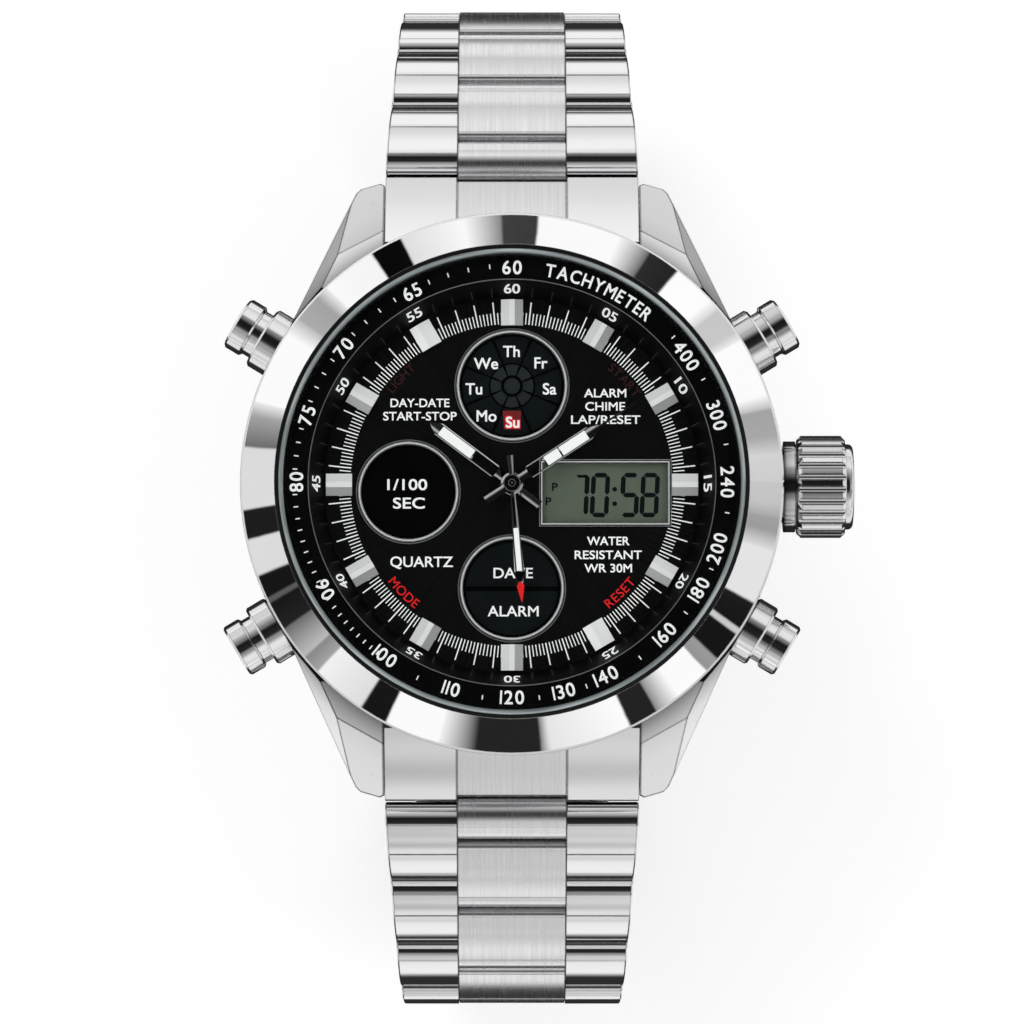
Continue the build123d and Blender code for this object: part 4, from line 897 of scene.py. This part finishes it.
# Stage. Lengths from here on are in metres
def stage_piece(name, verts, faces, paint_name, surface):
    """A piece of the stage; surface writes its material's nodes and gives the last one's socket."""
    material = bpy.data.materials.new(paint_name)
    material.use_nodes = True
    n = Nodes(material.node_tree)
    n.tree.links.new(surface(n), n.node("ShaderNodeOutputMaterial").inputs["Surface"])
    mesh = bpy.data.meshes.new(name)
    mesh.from_pydata(verts, [], faces)
    mesh.materials.append(material)
    made = bpy.data.objects.new(name, mesh)
    bpy.context.scene.collection.objects.link(made)
    return made


def floor_surface(n):
    """Pale paper. To glossy rays it has painted shade close under the watch and a painted glow further out, so
    polished steel mirrors it dark there and bright beyond.
    """
    path = n.node("ShaderNodeLightPath").outputs
    place = n.node("ShaderNodeTexCoord").outputs["Object"]
    dark_r = 0.088
    bright_r = 0.128
    # Painted shade close under the watch and a painted glow further out, seen only by glossy rays
    mirror_shade_and_glow = n.between(n.vector("LENGTH", n.flat(place)), dark_r, bright_r, 0.03, 1.0, smooth=True)
    paper = n.between(n.noise(place, 900, detail=2.0, rough=0.5), 0.0, 1.0, 0.85, 0.87)
    matt = n.node("ShaderNodeBsdfDiffuse")
    n.fill(matt.inputs["Color"], n.share(path["Is Glossy Ray"], paper, mirror_shade_and_glow))
    camera_glow = n.maths("MULTIPLY", path["Is Camera Ray"], 0.53)
    mirrored = n.maths("MULTIPLY", path["Is Glossy Ray"], mirror_shade_and_glow)
    extra = n.node("ShaderNodeEmission")
    n.fill(extra.inputs["Strength"], n.maths("MULTIPLY_ADD", mirrored, 0.3, camera_glow))
    both = n.node("ShaderNodeAddShader")
    n.fill(both.inputs[0], matt.outputs["BSDF"])
    n.fill(both.inputs[1], extra.outputs["Emission"])
    return both.outputs["Shader"]


floor_z = cad_box[0][2] - 0.05 * MM
floor_half = 3.0
floor_corners = [(x * floor_half, y * floor_half, floor_z) for x, y in ((-1, -1), (1, -1), (1, 1), (-1, 1))]
floor = stage_piece("floor", floor_corners, [[0, 1, 2, 3]], "floor_paper", floor_surface)

# A ring of soft panels round the watch: start and end in degrees, and the tone at each end
panels = (
    (0, 6, 0.72, 0.8), (6, 10, 0.8, 0.5), (10, 16, 0.48, 0.45), (16, 19, 0.55, 1.1),
    (19, 32, 1.18, 1.18), (32, 34, 1.05, 0.75), (34, 40, 0.7, 0.68), (40, 42.5, 0.75, 1.1),
    (42.5, 52, 1.18, 1.18), (52, 59, 0.02, 0.03), (59, 66, 0.12, 1.1), (66, 84, 1.18, 1.16),
    (84, 92, 0.05, 0.06), (92, 100, 0.25, 1.1), (100, 114, 1.18, 0.9), (114, 121, 0.004, 0.003),
    (121, 133, 1.1, 1.16), (133, 136, 1.05, 0.5), (136, 142, 0.44, 0.5), (142, 146, 0.55, 1.1),
    (146, 162, 1.18, 1.18), (162, 165, 1.05, 0.5), (165, 172, 0.45, 0.18), (172, 185.5, 0.85, 0.88),
    (185.5, 192, 0.015, 0.015), (192, 200, 0.88, 0.86), (200, 205, 0.01, 0.01), (205, 206.2, 0.14, 0.12),
    (206.2, 212.5, 0.01, 0.02), (212.5, 220, 0.16, 0.6), (220, 224, 0.28, 0.45), (224, 236, 1.1, 0.9),
    (236, 242, 0.01, 0.01), (242, 254, 1.18, 1.16), (254, 262, 1.1, 0.06), (262, 276, 0.02, 0.02),
    (276, 278, 0.1, 0.85), (278, 295.5, 0.95, 1.2), (295.5, 302, 0.02, 0.02), (302, 307.5, 0.25, 1.1),
    (307.5, 315.5, 1.18, 1.18), (315.5, 319, 0.35, 0.4), (319, 325.6, 0.01, 0.01), (325.6, 327, 0.75, 0.7),
    (327, 333.2, 0.01, 0.015), (333.2, 345, 0.95, 0.95), (345, 349, 0.9, 0.45), (349, 352, 0.4, 0.42),
    (352, 355, 0.45, 0.64), (355, 360, 0.66, 0.7),
)
panel_seam = 0.5


def tone_at(azimuth):
    """The tone of the panels at an azimuth; neighbours run into one another over a narrow seam."""
    azimuth %= 360
    for index, (start, end, first, last) in enumerate(panels):
        if azimuth < end:
            break
    tone = first + (last - first) * (azimuth - start) / (end - start)
    before = panels[index - 1][3]
    return before + (tone - before) * min(1.0, (azimuth - start) / panel_seam)


def wall_surface(n):
    light = n.node("ShaderNodeEmission")
    n.link(n.node("ShaderNodeAttribute", attribute_name="tone"), "Fac", light, "Strength")
    return light.outputs["Emission"]


# The ring stands where the bezel's cone mirrors it to the camera, which leans; it's narrow near 12 and 6 o'clock,
# so that the links don't mirror it too
camera_lean = 4.0
wall_r = 0.42
wall_steps = 1440
wall_rise = 2.9
wall_half = 4.2
slim_half = 0.95
slim_from = 0.94
bezel_z = 0.0115
wall_verts = []
wall_faces = []
wall_tones = []
for step in range(wall_steps):
    azimuth = step * 360 / wall_steps
    turn = math.radians(azimuth)
    middle = wall_rise - camera_lean * math.sin(turn)
    half = slim_half if abs(math.sin(turn)) > slim_from else wall_half
    for rise in (middle - half, middle + half):
        height = bezel_z + wall_r * math.tan(math.radians(rise))
        wall_verts.append((wall_r * math.cos(turn), wall_r * math.sin(turn), height))
        wall_tones.append(tone_at(azimuth - camera_lean * math.cos(turn)))
    after = (step + 1) % wall_steps
    wall_faces.append([2 * step, 2 * after, 2 * after + 1, 2 * step + 1])
wall = stage_piece("soft_panels", wall_verts, wall_faces, "panel_light", wall_surface)
wall.data.attributes.new("tone", "FLOAT", "POINT").data.foreach_set("value", wall_tones)
wall.visible_camera = False
wall.visible_shadow = False
wall.visible_diffuse = False


def softbox(name, spot, size, power):
    """A rectangular light that faces the watch and isn't mirrored in it."""
    light = bpy.data.lights.new(name, "AREA")
    light.shape = "RECTANGLE"
    light.size, light.size_y = size
    light.energy = power
    made = bpy.data.objects.new(name, light)
    bpy.context.scene.collection.objects.link(made)
    made.location = spot
    made.visible_glossy = False
    made.rotation_euler = (-Vector(spot)).to_track_quat("-Z", "Y").to_euler()


softbox("key_light", (-0.28, 0.38, 0.75), (0.35, 0.3), 1.1)
softbox("fill_light", (0.45, -0.2, 0.7), (0.3, 0.3), 0.6)


def background(n, strength):
    made = n.node("ShaderNodeBackground")
    n.fill(made.inputs["Strength"], strength)
    return made


# The studio round it: white to the camera, an even dim light on matt surfaces, and soft patches of light in mirrors
world = bpy.data.worlds.new("studio")
bpy.context.scene.world = world
world.use_nodes = True
sky = Nodes(world.node_tree)
path = sky.node("ShaderNodeLightPath").outputs
upward = sky.node("ShaderNodeTexCoord").outputs["Generated"]
height = sky.split(upward)["Z"]
dome = sky.ramp(height, (
    (0.0, 0.8), (0.3, 0.95), (0.7, 1.0), (0.88, 0.9), (0.93, 0.5), (0.962, 0.1), (0.985, 0.035), (1.0, 0.03)))
patches = sky.between(sky.noise(upward, 1.7, detail=1.0, rough=0.5), 0.38, 0.6, 0.35, 1.25)
patchy = sky.share(sky.between(height, 0.2, 0.5, smooth=True), 1.1, patches)
mirror = background(sky, sky.maths("MULTIPLY", dome, patchy))
seen = background(sky, 1.0)
seen.inputs["Color"].default_value = (1, 1, 1, 1)
unseen = sky.mix_shaders(path["Is Glossy Ray"], background(sky, 0.62).outputs[0], mirror.outputs[0])
whole = sky.mix_shaders(path["Is Camera Ray"], unseen, seen.outputs[0])
sky.tree.links.new(whole, sky.node("ShaderNodeOutputWorld").inputs["Surface"])

# Camera above the dial, a little towards 6 o'clock
aim = Vector((0.0, -0.0025, 0.010))
distance = 0.55
lean = math.radians(camera_lean)
camera_data = bpy.data.cameras.new("camera")
camera_data.lens = 225
camera_data.sensor_width = 36
camera_data.clip_start = 0.01
camera_data.clip_end = 20
camera = bpy.data.objects.new("camera", camera_data)
bpy.context.scene.collection.objects.link(camera)
camera.location = aim + Vector((0, -math.sin(lean), math.cos(lean))) * distance
camera.rotation_euler = (aim - camera.location).to_track_quat("-Z", "Y").to_euler()
bpy.context.scene.camera = camera
bpy.context.scene.view_settings.view_transform = "Standard"
